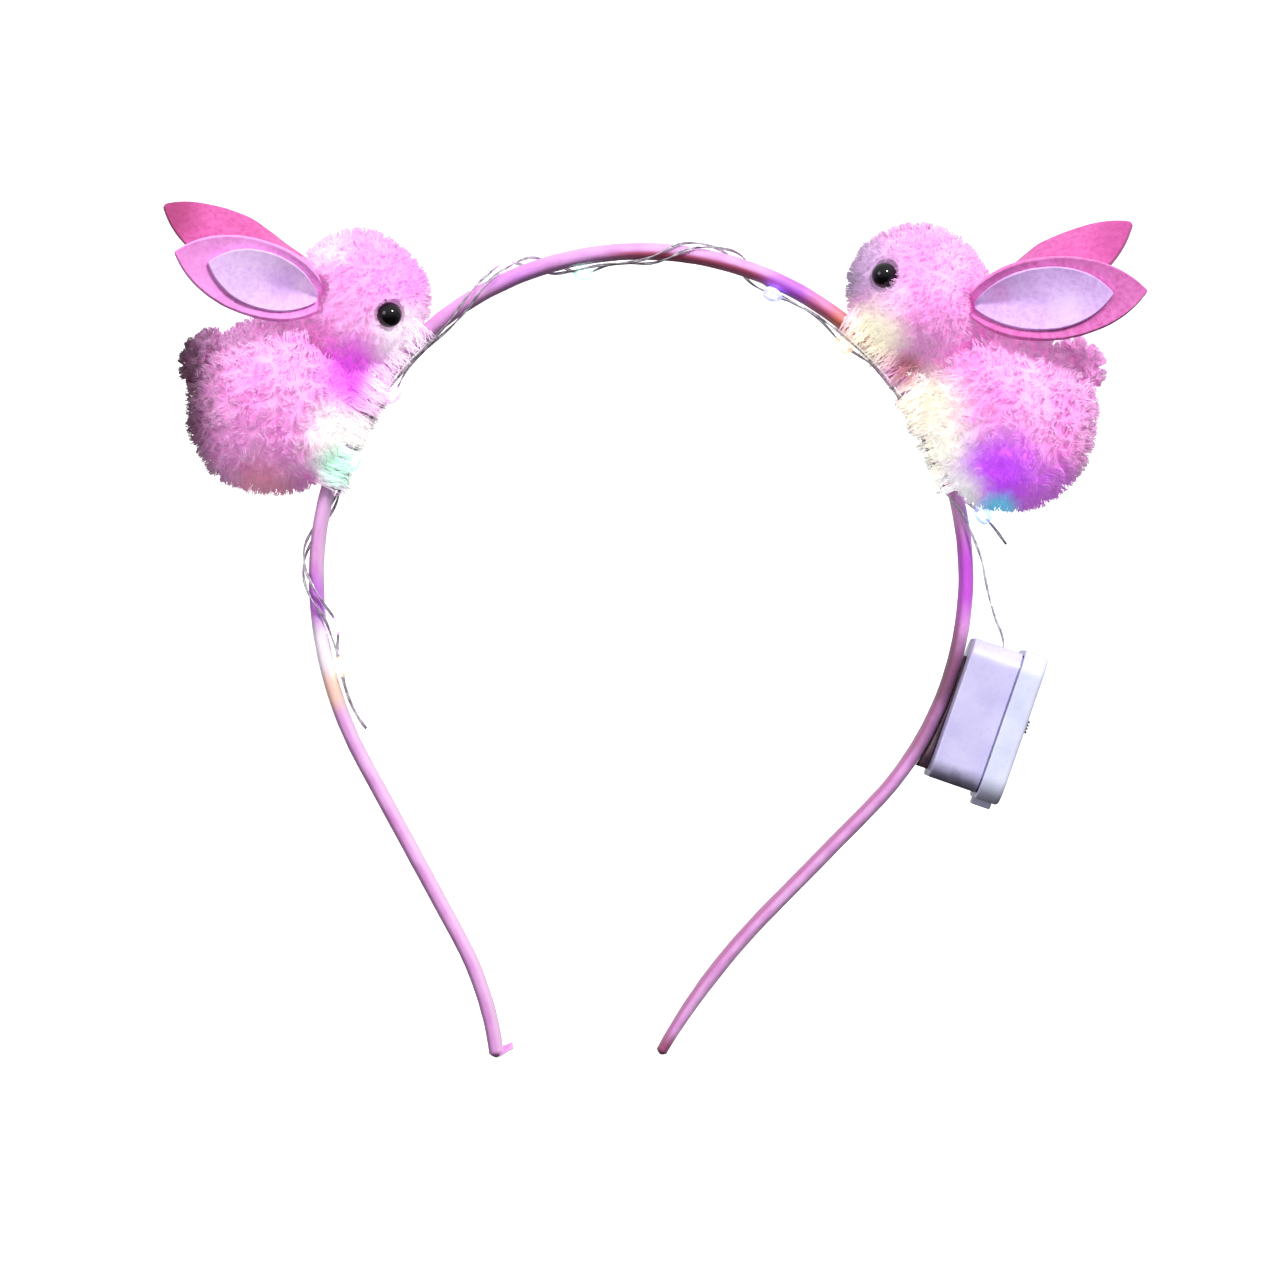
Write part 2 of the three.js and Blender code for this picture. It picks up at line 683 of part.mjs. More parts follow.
function boxBody() {
  const outside = slab(oblong(BOX_LENGTH, BOX_DEPTH, BOX_CORNER), 0, BOX_HEIGHT);
  const rimLength = BOX_LENGTH - 2 * RIM_STEP;
  const rimDepth = BOX_DEPTH - 2 * RIM_STEP;
  const rim = slab(oblong(rimLength, rimDepth, BOX_CORNER - RIM_STEP),
    BOX_HEIGHT - 1, BOX_HEIGHT + RIM_HEIGHT);
  const inside = slab(oblong(BOX_LENGTH - 2 * BOX_WALL, BOX_DEPTH - 2 * BOX_WALL, BOX_CORNER - BOX_WALL),
    BOX_FLOOR, BOX_HEIGHT + RIM_HEIGHT + 1);
  const hole = new THREE.CylinderGeometry(WIRE_DIAMETER / 2 + 1.3 * GAP, WIRE_DIAMETER / 2 + 1.3 * GAP,
    4 * BOX_WALL, 8);
  hole.rotateZ(Math.PI / 2).translate(-BOX_LENGTH / 2, LEAD_HOLE_SIDE, LEAD_HOLE_HEIGHT);
  return piece('box_body', cut(join(outside, rim), inside, hole), finish(0xe1dcff, 0.3));
}

function boxCover() {
  const length = BOX_LENGTH + 2 * COVER_OVERHANG;
  const depth = BOX_DEPTH + 2 * COVER_OVERHANG;
  const corner = BOX_CORNER + COVER_OVERHANG;
  const base = BOX_HEIGHT + GAP;
  const top = BOX_HEIGHT + COVER_HEIGHT;
  const outside = slab(oblong(length, depth, corner), base, top);
  const tab = block([TAB_REACH + 1, TAB_WIDTH, TAB_THICKNESS],
    [length / 2 + (TAB_REACH - 1) / 2, 0, base + TAB_THICKNESS / 2]);
  const roomLength = BOX_LENGTH - 2 * RIM_STEP + 2 * GAP;
  const roomDepth = BOX_DEPTH - 2 * RIM_STEP + 2 * GAP;
  const room = slab(oblong(roomLength, roomDepth, BOX_CORNER - RIM_STEP + GAP),
    BOX_HEIGHT - 1, COVER_UNDERSIDE);
  const slot = block([...KNOB_SLOT, 4 * COVER_TOP], [0, SWITCH_SIDE, top]);
  const hollow = cut(join(outside, tab), room, slot);
  const stakes = STAKES.map(([x, y]) => post(STAKE_DIAMETER, BOARD_TOP - BOARD_THICKNESS - 0.4,
    COVER_UNDERSIDE + 0.5, x, y, 8));
  const shoulders = STAKES.map(([x, y]) => post(STAKE_DIAMETER + 1.4, BOARD_TOP + GAP,
    COVER_UNDERSIDE + 0.5, x, y, 8));
  return piece('box_cover', join(hollow, ...stakes, ...shoulders), finish(0xe6ebfc, 0.25));
}

function coinCell(name, base) {
  const can = post(CELL_DIAMETER, base, base + CELL_CAN, 0, 0, 28);
  const cap = post(CELL_DIAMETER - 2 * CELL_CAP_STEP, base + CELL_CAN - 0.5, base + CELL_HEIGHT, 0, 0, 28);
  return piece(name, join(can, cap), finish(0xc8cbd0, 0.25, 1));
}

function contactPlate() {
  const pad = slab(oblong(14, 8, 2), BOX_FLOOR + GAP, BOX_FLOOR + GAP + PLATE_THICKNESS);
  return piece('contact_plate', pad, finish(0xd8b25a, 0.3, 1));
}

// A bent strip: its two arms bow down from the board to the upper cell
function contactSpring() {
  const shape = new THREE.Shape();
  shape.moveTo(-7, SPRING_RISE);
  shape.lineTo(-7, SPRING_RISE - PLATE_THICKNESS);
  shape.lineTo(-3, 0);
  shape.lineTo(3, 0);
  shape.lineTo(7, SPRING_RISE - PLATE_THICKNESS);
  shape.lineTo(7, SPRING_RISE);
  shape.lineTo(3, PLATE_THICKNESS);
  shape.lineTo(-3, PLATE_THICKNESS);
  shape.closePath();
  const strip = slab(shape, -2, 2).rotateX(Math.PI / 2).translate(0, 0, SPRING_BASE);
  return piece('contact_spring', strip, finish(0xd8b25a, 0.3, 1));
}

function circuitBoard() {
  const blank = slab(oblong(BOARD_LENGTH, BOARD_DEPTH, 1), BOARD_TOP - BOARD_THICKNESS, BOARD_TOP);
  const holes = STAKES.map(([x, y]) => post(STAKE_DIAMETER + 2 * GAP, 0, 2 * BOARD_TOP, x, y, 8));
  return piece('circuit_board', cut(blank, ...holes), finish(0x2f6b48, 0.5));
}

function switchFrame() {
  const base = BOARD_TOP + GAP;
  const can = block([SWITCH_LENGTH, SWITCH_DEPTH, SWITCH_HEIGHT], [0, SWITCH_SIDE, base + SWITCH_HEIGHT / 2]);
  const track = block([...KNOB_SLOT, SWITCH_HEIGHT], [0, SWITCH_SIDE, base + SWITCH_HEIGHT / 2 + 0.4]);
  return piece('switch_frame', cut(can, track), finish(0x9a9da3, 0.35, 1));
}

function switchKnob() {
  const base = BOARD_TOP + GAP + 0.4 + GAP;
  const top = BOX_HEIGHT + COVER_HEIGHT + KNOB_PROUD;
  const stem = block([KNOB_LENGTH, KNOB_WIDTH, top - base], [-KNOB_TRAVEL / 2, SWITCH_SIDE, (top + base) / 2]);
  return piece('switch_knob', stem, finish(0x2b2b30, 0.5));
}

function flasherChip() {
  const base = BOARD_TOP + GAP;
  const dome = new THREE.SphereGeometry(1, 12, 6);
  dome.rotateX(Math.PI / 2).scale(CHIP_DIAMETER / 2, CHIP_DIAMETER / 2, CHIP_HEIGHT);
  const below = block([2 * CHIP_DIAMETER, 2 * CHIP_DIAMETER, 2 * CHIP_HEIGHT], [0, 0, -CHIP_HEIGHT]);
  return piece('flasher_chip', cut(dome, below).translate(0, CHIP_SIDE, base), finish(0x111114, 0.35));
}

function resistor() {
  const [length, depth, height] = RESISTOR;
  const body = block([length, depth, height], [0, RESISTOR_SIDE, BOARD_TOP + GAP + height / 2]);
  return piece('resistor', body, finish(0x3a2c26, 0.6));
}

function batteryBox() {
  const box = boxSeat();
  box.add(boxBody(), boxCover(), coinCell('coin_cell_1', CELL_1_BASE), coinCell('coin_cell_2', CELL_2_BASE));
  box.add(contactPlate(), contactSpring(), circuitBoard(), switchFrame(), switchKnob());
  box.add(flasherChip(), resistor());
  return box;
}

function boxGlue() {
  const out = BAND_THICKNESS / 2 + GAP + BOX_GLUE_THICKNESS / 2;
  const line = new BandLine(BOX_GLUE_FROM, BOX_GLUE_TO, out);
  const shape = ellipse(BAND_WIDTH / 2, BOX_GLUE_THICKNESS / 2, 8);
  return piece('box_glue', sweep(shape, line, 3), finish(0xf4e6cf, 0.4));
}

// ---- The whole headband ----

const group = new THREE.Group();
group.add(bandCore(), satinSleeve(), ...bandTips());
for (const rabbit of RABBITS) group.add(...rabbitPieces(rabbit));
group.add(lightWire(), ...lightDrops());
group.add(batteryBox(), boxGlue());

export default group;
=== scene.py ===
import json
import math

import bpy
import numpy as np
from mathutils import Matrix, Vector, noise
from mathutils.bvhtree import BVHTree
from mathutils.kdtree import KDTree

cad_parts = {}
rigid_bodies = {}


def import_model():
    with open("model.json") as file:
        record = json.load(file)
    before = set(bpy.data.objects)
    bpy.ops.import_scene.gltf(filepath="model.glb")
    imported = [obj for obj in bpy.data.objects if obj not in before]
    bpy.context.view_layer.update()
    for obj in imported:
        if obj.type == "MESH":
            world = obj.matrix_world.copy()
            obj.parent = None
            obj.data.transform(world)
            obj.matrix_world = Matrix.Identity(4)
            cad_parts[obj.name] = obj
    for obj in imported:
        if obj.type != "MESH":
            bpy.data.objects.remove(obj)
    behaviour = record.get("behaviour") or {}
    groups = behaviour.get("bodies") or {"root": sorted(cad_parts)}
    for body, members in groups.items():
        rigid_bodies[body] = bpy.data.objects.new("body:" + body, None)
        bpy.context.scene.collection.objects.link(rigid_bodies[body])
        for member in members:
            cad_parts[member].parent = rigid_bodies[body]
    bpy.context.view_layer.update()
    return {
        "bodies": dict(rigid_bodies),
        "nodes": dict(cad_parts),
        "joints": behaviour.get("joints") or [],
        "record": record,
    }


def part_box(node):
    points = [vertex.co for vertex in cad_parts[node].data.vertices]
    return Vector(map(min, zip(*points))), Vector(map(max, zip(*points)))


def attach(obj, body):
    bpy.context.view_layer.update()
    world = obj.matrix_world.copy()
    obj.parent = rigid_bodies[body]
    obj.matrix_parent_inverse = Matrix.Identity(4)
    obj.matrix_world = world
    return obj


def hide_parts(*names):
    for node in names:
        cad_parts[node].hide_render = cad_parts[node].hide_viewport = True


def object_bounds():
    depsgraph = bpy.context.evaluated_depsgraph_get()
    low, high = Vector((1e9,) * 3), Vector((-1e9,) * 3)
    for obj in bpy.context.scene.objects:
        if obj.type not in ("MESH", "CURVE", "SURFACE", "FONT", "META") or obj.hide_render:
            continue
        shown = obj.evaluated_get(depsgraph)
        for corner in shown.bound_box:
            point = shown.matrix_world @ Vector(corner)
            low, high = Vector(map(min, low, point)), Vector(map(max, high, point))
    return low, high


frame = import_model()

MM = 0.001
NODES = frame["nodes"]

# ---- The camera ----
# A straight look at the front of the headband, level with the middle of its height,
# through a long lens, as small goods are shown in a catalogue.
CAMERA_AWAY, CAMERA_SIDE, CAMERA_HEIGHT = 1.1, -0.0002, -0.0687
FRAME_WIDTH = 0.2304
FILM_WIDTH = 36
lens = bpy.data.cameras.new("front_view")
lens.sensor_width = FILM_WIDTH
lens.lens = FILM_WIDTH * CAMERA_AWAY / FRAME_WIDTH
lens.clip_start = 0.01
lens.clip_end = 20
camera = bpy.data.objects.new("front_view", lens)
camera.location = (CAMERA_SIDE, -CAMERA_AWAY, CAMERA_HEIGHT)
camera.rotation_euler = (math.pi / 2, 0, 0)
bpy.context.scene.collection.objects.link(camera)
bpy.context.scene.camera = camera
bpy.context.scene.view_settings.view_transform = "Standard"


# ---- The light wire ----
# Two enamelled cores, laid side by side and slowly twisted, that leave the battery box,
# run along the band to its left half, turn there and come back, wound round the ribbon
# by hand. The last few millimetres hang free past the last lamp.
BAND_WIDTH = 5.6
BAND_THICKNESS = 2.6
GAP = 0.3


def bent(radius, degrees):
    return 1 / radius, abs(radius) * math.radians(degrees)


LEFT_HALF = [bent(58.5, 90.5), bent(70, 28), (0, 36), bent(-60, 21)]
RIGHT_HALF = [bent(58.5, 92), bent(59, 42.5), (0, 27), bent(-124, 14.5)]
LEFT_LENGTH = sum(length for _, length in LEFT_HALF)
RIGHT_LENGTH = sum(length for _, length in RIGHT_HALF)


def band_place(station):
    """Where the band's middle line is, that far along it from the crown, and its heading."""
    side = -1 if station < 0 else 1
    rest, across, drop, heading = abs(station), 0.0, 0.0, 0.0
    for curvature, length in LEFT_HALF if side < 0 else RIGHT_HALF:
        run = min(rest, length)
        turn = curvature * run
        chord = run if curvature == 0 else 2 * math.sin(turn / 2) / curvature
        across += chord * math.cos(heading + turn / 2)
        drop += chord * math.sin(heading + turn / 2)
        heading += turn
        rest -= run
    across += rest * math.cos(heading)
    drop += rest * math.sin(heading)
    return side * across, BAND_THICKNESS / 2 - drop, side * heading


def band_seat(station, out=0.0):
    """A frame on the band in metres: x runs along it and z points out from it."""
    x, z, heading = band_place(station)
    place = (MM * (x + out * math.sin(heading)), 0, MM * (z + out * math.cos(heading)))
    return Matrix.Translation(place) @ Matrix.Rotation(heading, 4, "Y")


def wound_point(station, angle, lift):
    """A point beside the ribbon, from its angle round it and its lift off it."""
    turn = math.radians(angle)
    out = (BAND_THICKNESS / 2 + lift) * math.cos(turn)
    front = (BAND_WIDTH / 2 + lift) * math.sin(turn)
    return band_seat(station) @ Vector((0, -MM * front, MM * out))


def smooth_line(points, steps):
    """A centripetal spline through the points, with that many steps between each two."""
    p = np.array([tuple(q) for q in points], float)
    p = np.vstack([2 * p[0] - p[1], p, 2 * p[-1] - p[-2]])
    line = []
    for a, b, c, d in zip(p, p[1:], p[2:], p[3:]):
        ab, bc, cd = (max(1e-9, np.linalg.norm(y - x)) ** 0.5 for x, y in ((a, b), (b, c), (c, d)))
        start = ((b - a) / ab - (c - a) / (ab + bc) + (c - b) / bc) * bc
        end = ((c - b) / bc - (d - b) / (bc + cd) + (d - c) / cd) * bc
        for i in range(steps):
            t = i / steps
            line.append(b * (2 * t**3 - 3 * t**2 + 1) + start * (t**3 - 2 * t**2 + t)
                        + c * (3 * t**2 - 2 * t**3) + end * (t**3 - t**2))
    line.append(p[-2])
    return np.array(line)


def carried_frames(line):
    """For each point of a line, two directions across it that turn as little as they can."""
    along = np.gradient(line, axis=0)
    along /= np.linalg.norm(along, axis=1)[:, None]
    side = np.cross(along[0], (0.0, 1.0, 0.0))
    sides = []
    for direction in along:
        side = side - direction * side.dot(direction)
        side = side / np.linalg.norm(side)
        sides.append(side)
    return np.array(sides), np.cross(along, sides)


def new_piece(name, points, faces, smooth=True):
    mesh = bpy.data.meshes.new(name)
    mesh.from_pydata([tuple(p) for p in points], [], faces)
    mesh.update()
    mesh.shade_smooth() if smooth else mesh.shade_flat()
    piece = bpy.data.objects.new(name, mesh)
    bpy.context.scene.collection.objects.link(piece)
    return piece


def ring_faces(rings, sides, flip=False):
    """The faces between rings of points, and the two that close the ends."""
    faces = []
    for i in range(rings - 1):
        for k in range(sides):
            a, b = i * sides + k, i * sides + (k + 1) % sides
            faces.append((a, b, b + sides, a + sides))
    last = (rings - 1) * sides
    faces += [tuple(range(sides))[::-1], tuple(range(last, last + sides))]
    if not flip:
        return faces
    return [(a, d, c, b) for a, b, c, d in faces[:-2]] + [end[::-1] for end in faces[-2:]]


def tube_parts(line, offsets, radius, sides):
    """Rings round a line, moved off it by offsets, with both ends closed."""
    across, up = carried_frames(line)
    points = []
    for side, rise, centre, (aside, above) in zip(across, up, line, offsets):
        for k in range(sides):
            turn = 2 * math.pi * k / sides
            ring = side * math.cos(turn) + rise * math.sin(turn)
            points.append(centre + side * aside + rise * above + radius * ring)
    return points, ring_faces(len(line), sides)


BOX_STATION, BOX_SHIFT, BOX_LENGTH = 111.6, 3.8, 26.2
BOX_WALL, LEAD_HOLE_HEIGHT, LEAD_HOLE_SIDE = 1.3, 5.5, -6.5
BOX_SEAT = band_seat(BOX_STATION, BAND_THICKNESS / 2 + GAP)
BOX_FRAME = BOX_SEAT @ Matrix.Translation((MM * BOX_SHIFT, 0, 0))


def box_point(x, y, z):
    return BOX_FRAME @ Vector((MM * x, MM * y, MM * z))


LEAD = [
    box_point(-BOX_LENGTH / 2 + 2.6, LEAD_HOLE_SIDE, LEAD_HOLE_HEIGHT + 1.6),
    box_point(-BOX_LENGTH / 2 + BOX_WALL / 2, LEAD_HOLE_SIDE, LEAD_HOLE_HEIGHT),
    box_point(-BOX_LENGTH / 2 - 0.9, LEAD_HOLE_SIDE, LEAD_HOLE_HEIGHT - 0.5),
]
# Each point is its station on the band, the angle round it from its outside through its
# front, and the lift off the ribbon.
RUN_OUT = [
    (101, 40, 7.45), (98.8, 44.3, 6.15), (95.9, 47.5, 4.8), (92.6, 49, 3.65), (89.1, 51, 2.85),
    (86.5, 56.5, 2.1), (83.4, 68.5, 1.4), (80.7, 86, 0.95), (77.2, 130, 0.9),
    (73.3, 160, 1.85), (68, 163, 0.9), (58, 160, 0.85), (47, 158, 0.85), (36, 158, 0.85),
    (30.5, 154, 1.2), (25.6, 150, 1.85), (21.4, 195, 1), (18.5, 252, 0.9), (15.8, 308, 0.95),
    (12.5, 350, 0.95), (9.5, 374, 0.95), (7, 405, 0.9), (4.5, 444, 0.9), (2, 484, 0.9),
    (-1.2, 512, 0.9), (-8, 526, 0.9), (-13.5, 540, 0.9), (-17, 588, 0.9), (-19.8, 645, 1),
    (-24, 705, 1.9), (-28, 738, 1), (-31.2, 778, 0.9), (-34.4, 815, 0.9), (-38, 848, 0.9),
    (-42.6, 870, 0.9), (-48, 876, 0.9), (-57, 878, 0.9), (-64.5, 877, 1), (-69.6, 875, 1.85),
    (-74.8, 892, 1), (-79, 935, 0.9),
    (-82.7, 982, 0.9), (-86.2, 1030, 0.95), (-89.8, 1075, 1), (-93.3, 1112, 0.95),
    (-96.5, 1155, 0.9), (-99.8, 1205, 0.9), (-104, 1232, 1.1), (-109, 1230, 1.85),
    (-114, 1238, 1.1), (-118.4, 1242, 1.3),
]
TURN_BACK = [(-120.4, 1247, 1.6), (-121.4, 1260, 1.8), (-120.4, 1273, 1.6)]
RUN_BACK = [
    (-118.2, 1278, 1.3), (-113, 1277, 0.95), (-107, 1273, 1), (-101.2, 1262, 1.9), (-97.2, 1210, 1),
    (-93.8, 1160, 1), (-90.6, 1118, 1), (-87.2, 1078, 1.05), (-83.8, 1030, 1), (-80.2, 982, 0.95),
    (-76, 938, 0.95), (-69.5, 921, 0.9), (-61, 915, 0.95), (-55.1, 905, 1.9), (-49, 910, 0.95),
    (-43.4, 906, 0.95), (-38.8, 886, 0.95), (-34.8, 856, 0.95), (-31.2, 820, 0.95), (-27.8, 782, 1),
    (-23.6, 752, 1.05),
    (-19.4, 705, 1), (-15.8, 630, 1), (-11, 563, 1.9), (-6, 562, 0.95), (-1.8, 556, 0.95),
    (1.8, 530, 0.95), (4.6, 490, 0.95), (7.2, 450, 0.95), (9.8, 416, 1), (12.8, 392, 1),
    (16.4, 358, 1), (19, 308, 1), (22, 252, 1), (27, 208, 0.95), (35, 200, 0.95),
    (42.1, 190, 1.9), (49, 200, 0.95),
    (60, 201, 0.95), (69, 203, 0.9), (73.8, 215, 0.95), (77, 262, 1.1), (79, 312, 1.6),
    (81.6, 343, 2.9), (84, 348, 4.6), (86.8, 350, 6.4),
]
WIRE_ROUTE = LEAD + [wound_point(*p) for p in RUN_OUT + TURN_BACK + RUN_BACK]
WIRE_STEPS = 7
CORE_RADIUS = 0.135 * MM
CORES_APART = 0.29 * MM
CORE_SIDES = 6
TWIST_EVERY = 15 * MM
wire_line = smooth_line(WIRE_ROUTE, WIRE_STEPS)
strides = np.linalg.norm(np.diff(wire_line, axis=0), axis=1)
run = np.concatenate([[0], np.cumsum(strides)])
wire_points, wire_faces = [], []
for sign in (1, -1):
    turns = 2 * math.pi * run / TWIST_EVERY
    offsets = sign * CORES_APART / 2 * np.stack([np.cos(turns), np.sin(turns)], 1)
    points, faces = tube_parts(wire_line, offsets, CORE_RADIUS, CORE_SIDES)
    start = len(wire_points)
    wire_points += points
    wire_faces += [tuple(start + k for k in face) for face in faces]
light_wire = new_piece("light_wire_cores", wire_points, wire_faces)


def paint(code):
    """A colour from its six-figure code, as the shader wants it."""
    parts = [int(code[i:i + 2], 16) / 255 for i in (0, 2, 4)]
    return (*(c / 12.92 if c <= 0.04045 else ((c + 0.055) / 1.055) ** 2.4 for c in parts), 1.0)


def set_inputs(tree, node, **values):
    """Gives inputs their values: plain, a colour's code, a socket, or a node's first output."""
    for key, value in values.items():
        numbered = key.startswith("in") and key[2:].isdigit()
        socket = node.inputs[int(key[2:]) if numbered else key.replace("_", " ")]
        if isinstance(value, bpy.types.Node):
            value = value.outputs[0]
        if isinstance(value, bpy.types.NodeSocket):
            tree.links.new(value, socket)
        else:
            socket.default_value = paint(value) if isinstance(value, str) else value


def add_node(tree, kind, **values):
    """A node with its settings and its inputs."""
    node = tree.nodes.new(kind if kind.startswith("Node") else "ShaderNode" + kind)
    for key in [key for key in values if hasattr(node, key)]:
        setattr(node, key, values.pop(key))
    set_inputs(tree, node, **values)
    return node


def multiplied(tree, first, second):
    return add_node(tree, "Math", operation="MULTIPLY", in0=first, in1=second)


def ranged(tree, value, start, end, low=0.0, high=1.0, kind="LINEAR"):
    """A value carried over from one range, start to end, to another."""
    return add_node(tree, "MapRange", interpolation_type=kind, Value=value,
                    From_Min=start, From_Max=end, To_Min=low, To_Max=high)


def blended(tree, share, first, second):
    return add_node(tree, "MixRGB", Fac=share, Color1=first, Color2=second)


def speckled(tree, scale, detail):
    """Cloudy noise that keeps its place on the object."""
    where = add_node(tree, "TexCoord").outputs["Object"]
    return add_node(tree, "TexNoise", Vector=where, Scale=scale, Detail=detail)


def bumped(tree, height, strength, depth):
    return add_node(tree, "Bump", Height=height, Strength=strength, Distance=depth)


def new_group(name, inputs, outputs):
    """A node group from {label: socket kind}, with its input sockets and its output node."""
    group = bpy.data.node_groups.new(name, "ShaderNodeTree")
    for in_out, sockets in (("INPUT", inputs), ("OUTPUT", outputs)):
        for label, kind in sockets.items():
            group.interface.new_socket(name=label, in_out=in_out, socket_type=f"NodeSocket{kind}")
    return group, add_node(group, "NodeGroupInput").outputs, add_node(group, "NodeGroupOutput")


def new_material(name, roughness=0.5, metallic=0.0):
    """A material, its tree and its shader."""
    material = bpy.data.materials.new(name)
    material.use_nodes = True
    tree = material.node_tree
    shader = tree.nodes["Principled BSDF"]
    set_inputs(tree, shader, Roughness=roughness, Metallic=metallic)
    return material, tree, shader


# Fine grain: an even, close pattern of light and dark, and its height, for drawn metal,
# moulded plastic and glue.
CLOSER = 7.0        # how much finer the close grain is than the broad one
grain, grain_in, grain_out = new_group(
    "Fine grain",
    dict(Size="Float", Dark="Color", Light="Color", Smooth="Float", Rough="Float"),
    dict(Colour="Color", Roughness="Float", Height="Float"))
broad = speckled(grain, grain_in["Size"], 4.0)
close = speckled(grain, multiplied(grain, grain_in["Size"], CLOSER), 2.0)
set_inputs(
    grain, grain_out, Height=close,
    Colour=blended(grain, ranged(grain, broad, 0.35, 0.65), grain_in["Dark"], grain_in["Light"]),
    Roughness=ranged(grain, close, 0.3, 0.7, grain_in["Smooth"], grain_in["Rough"]))


def grained(name, dark, light, size, smooth, rough, metallic=0.0, bump=0.1, depth=0.00005):
    """A material of fine grain on a plain base."""
    material, tree, shader = new_material(name, metallic=metallic)
    surface = add_node(tree, "Group", node_tree=grain, Size=size, Dark=dark, Light=light,
                       Smooth=smooth, Rough=rough)
    set_inputs(tree, shader, Base_Color=surface, Roughness=surface.outputs["Roughness"],
               Normal=bumped(tree, surface.outputs["Height"], bump, depth))
    return material, tree, shader


def dress(piece, material):
    piece.data.materials.clear()
    piece.data.materials.append(material)


def hand_over(piece, material, body, slot, *nodes):
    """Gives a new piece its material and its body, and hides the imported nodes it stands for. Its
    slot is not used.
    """
    dress(piece, material)
    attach(piece, body)
    if nodes:
        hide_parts(*nodes)


wire_metal, _, _ = grained("enamelled_wire", "8d8792", "d8d3dc", 900, 0.25, 0.42, metallic=0.4)
hand_over(light_wire, wire_metal, "headband", "silver_wire", "light_wire")


# ---- Lamp light on what is near ----
# Listed patches of painted light and painted shade are laid over the colours of the ribbon, the
# felt, the yarn and the box: each lamp's light in its own colour near it, and dusky painted shade
# on the yarn far from the lamps. Places are in metres on the object, and the depth from front to
# back counts for less, because the light goes round both sides.
DEPTH_COUNTS = 0.18
RAGGED = 0.28       # how far a painted patch's reach wanders, as a share of it
glow, glow_in, glow_out = new_group(
    "Lamp light",
    dict(Under="Color", Place="Vector", Reach="Float", Stain="Color", Share="Float"),
    dict(Colour="Color"))
where = add_node(glow, "TexCoord").outputs["Object"]
away = add_node(glow, "VectorMath", operation="SUBTRACT", in0=where, in1=glow_in["Place"])
flat = add_node(glow, "VectorMath", operation="MULTIPLY", in0=away, in1=(1, DEPTH_COUNTS, 1))
far = add_node(glow, "VectorMath", operation="LENGTH", in0=flat).outputs["Value"]
shake = ranged(glow, speckled(glow, 420.0, 3.0), 0.0, 1.0, 1 - RAGGED, 1 + RAGGED)
reach = multiplied(glow, glow_in["Reach"], shake)
spread = add_node(glow, "Math", operation="DIVIDE", in0=far, in1=reach)
share = multiplied(glow, ranged(glow, spread, 1.0, 0.25, kind="SMOOTHSTEP"), glow_in["Share"])
set_inputs(glow, glow_out, Colour=blended(glow, share, glow_in["Under"], glow_in["Stain"]))


def lit(tree, colour, painted_lights):
    """Lays a list of (x, z, reach, colour, share) patches of painted light and painted shade over a
    colour.
    """
    for x, z, reach, painted_tint, share in painted_lights:
        colour = add_node(tree, "Group", node_tree=glow, Under=colour, Stain=painted_tint, Share=share,
                          Place=(MM * x, 0, MM * z), Reach=MM * reach)
    return colour


# ---- The band ----
# A spring strip in a sleeve of satin ribbon, which is drawn round it and closed by a
# lapped edge along the inner face. The left end is folded over and glued with a short
# tail left standing, and the right end is drawn to a rounded point.
SLEEVE_SIDES = 40
SLEEVE_STEP = 0.7
SLEEVE_SQUARE = 2.6
LAP_HEIGHT, LAP_WIDTH, LAP_PLACE = 0.16, 0.9, 0.4
LEFT_TIP, RIGHT_TIP = 0.9, 0.6      # how far the ribbon goes past the strip's ends
RIGHT_TAPER, TAPER_LENGTH = 0.28, 16
CROWN_THICKER, CROWN_END, CROWN_FADE = 0.12, 50, 12
CREASE, FINE_CREASE = 0.1, 0.035


def sleeve_ring(station, turn):
    """How far out and to the front a point of the ribbon is; at angle 0 it is outside."""
    c, s = math.cos(turn), math.sin(turn)
    square = (abs(c) ** SLEEVE_SQUARE + abs(s) ** SLEEVE_SQUARE) ** (-1 / SLEEVE_SQUARE)
    out, front = c * square * BAND_THICKNESS / 2, s * square * BAND_WIDTH / 2
    left_end, right_end = station + LEFT_LENGTH + LEFT_TIP, RIGHT_LENGTH + RIGHT_TIP - station
    drawn = min(1.0, max(0.04, left_end / LEFT_TIP)) ** 0.5
    drawn *= min(1.0, max(0.04, right_end / RIGHT_TIP)) ** 0.5
    drawn *= min(1.0, 1 + RIGHT_TAPER * (right_end / TAPER_LENGTH - 1))
    out *= 1 + CROWN_THICKER * max(0.0, min(1.0, (CROWN_END - abs(station)) / CROWN_FADE))
    crease = noise.noise(Vector((station * 0.35, 3 * c, 3 * s))) * CREASE
    crease += noise.noise(Vector((station * 1.4, 6 * c, 6 * s))) * FINE_CREASE
    lap = LAP_HEIGHT * max(0.0, 1 - abs(front - LAP_PLACE) / LAP_WIDTH) if c < -0.3 else 0.0
    out = (out * (1 + crease / BAND_THICKNESS) - lap) * drawn
    return out, front * (1 + crease / BAND_WIDTH) * max(0.3, drawn)


stations = np.concatenate([
    -LEFT_LENGTH - LEFT_TIP + np.array([0.01, 0.1, 0.3, 0.55, 0.9]),
    np.arange(-LEFT_LENGTH + 0.5, RIGHT_LENGTH - 1.8, SLEEVE_STEP),
    RIGHT_LENGTH + RIGHT_TIP - np.array([1.9, 1.1, 0.6, 0.35, 0.15, 0.01])])
sleeve_points = []
for station in stations:
    seat = band_seat(station)
    for k in range(SLEEVE_SIDES):
        out, front = sleeve_ring(station, 2 * math.pi * k / SLEEVE_SIDES)
        sleeve_points.append(seat @ Vector((0, -MM * front, MM * out)))
ribbon_uv = [(k + aside, stations[i + ahead]) for i in range(len(stations) - 1)
             for k in range(SLEEVE_SIDES) for aside, ahead in ((0, 0), (0, 1), (1, 1), (1, 0))]
ribbon_uv += [(0, 0)] * (2 * SLEEVE_SIDES)
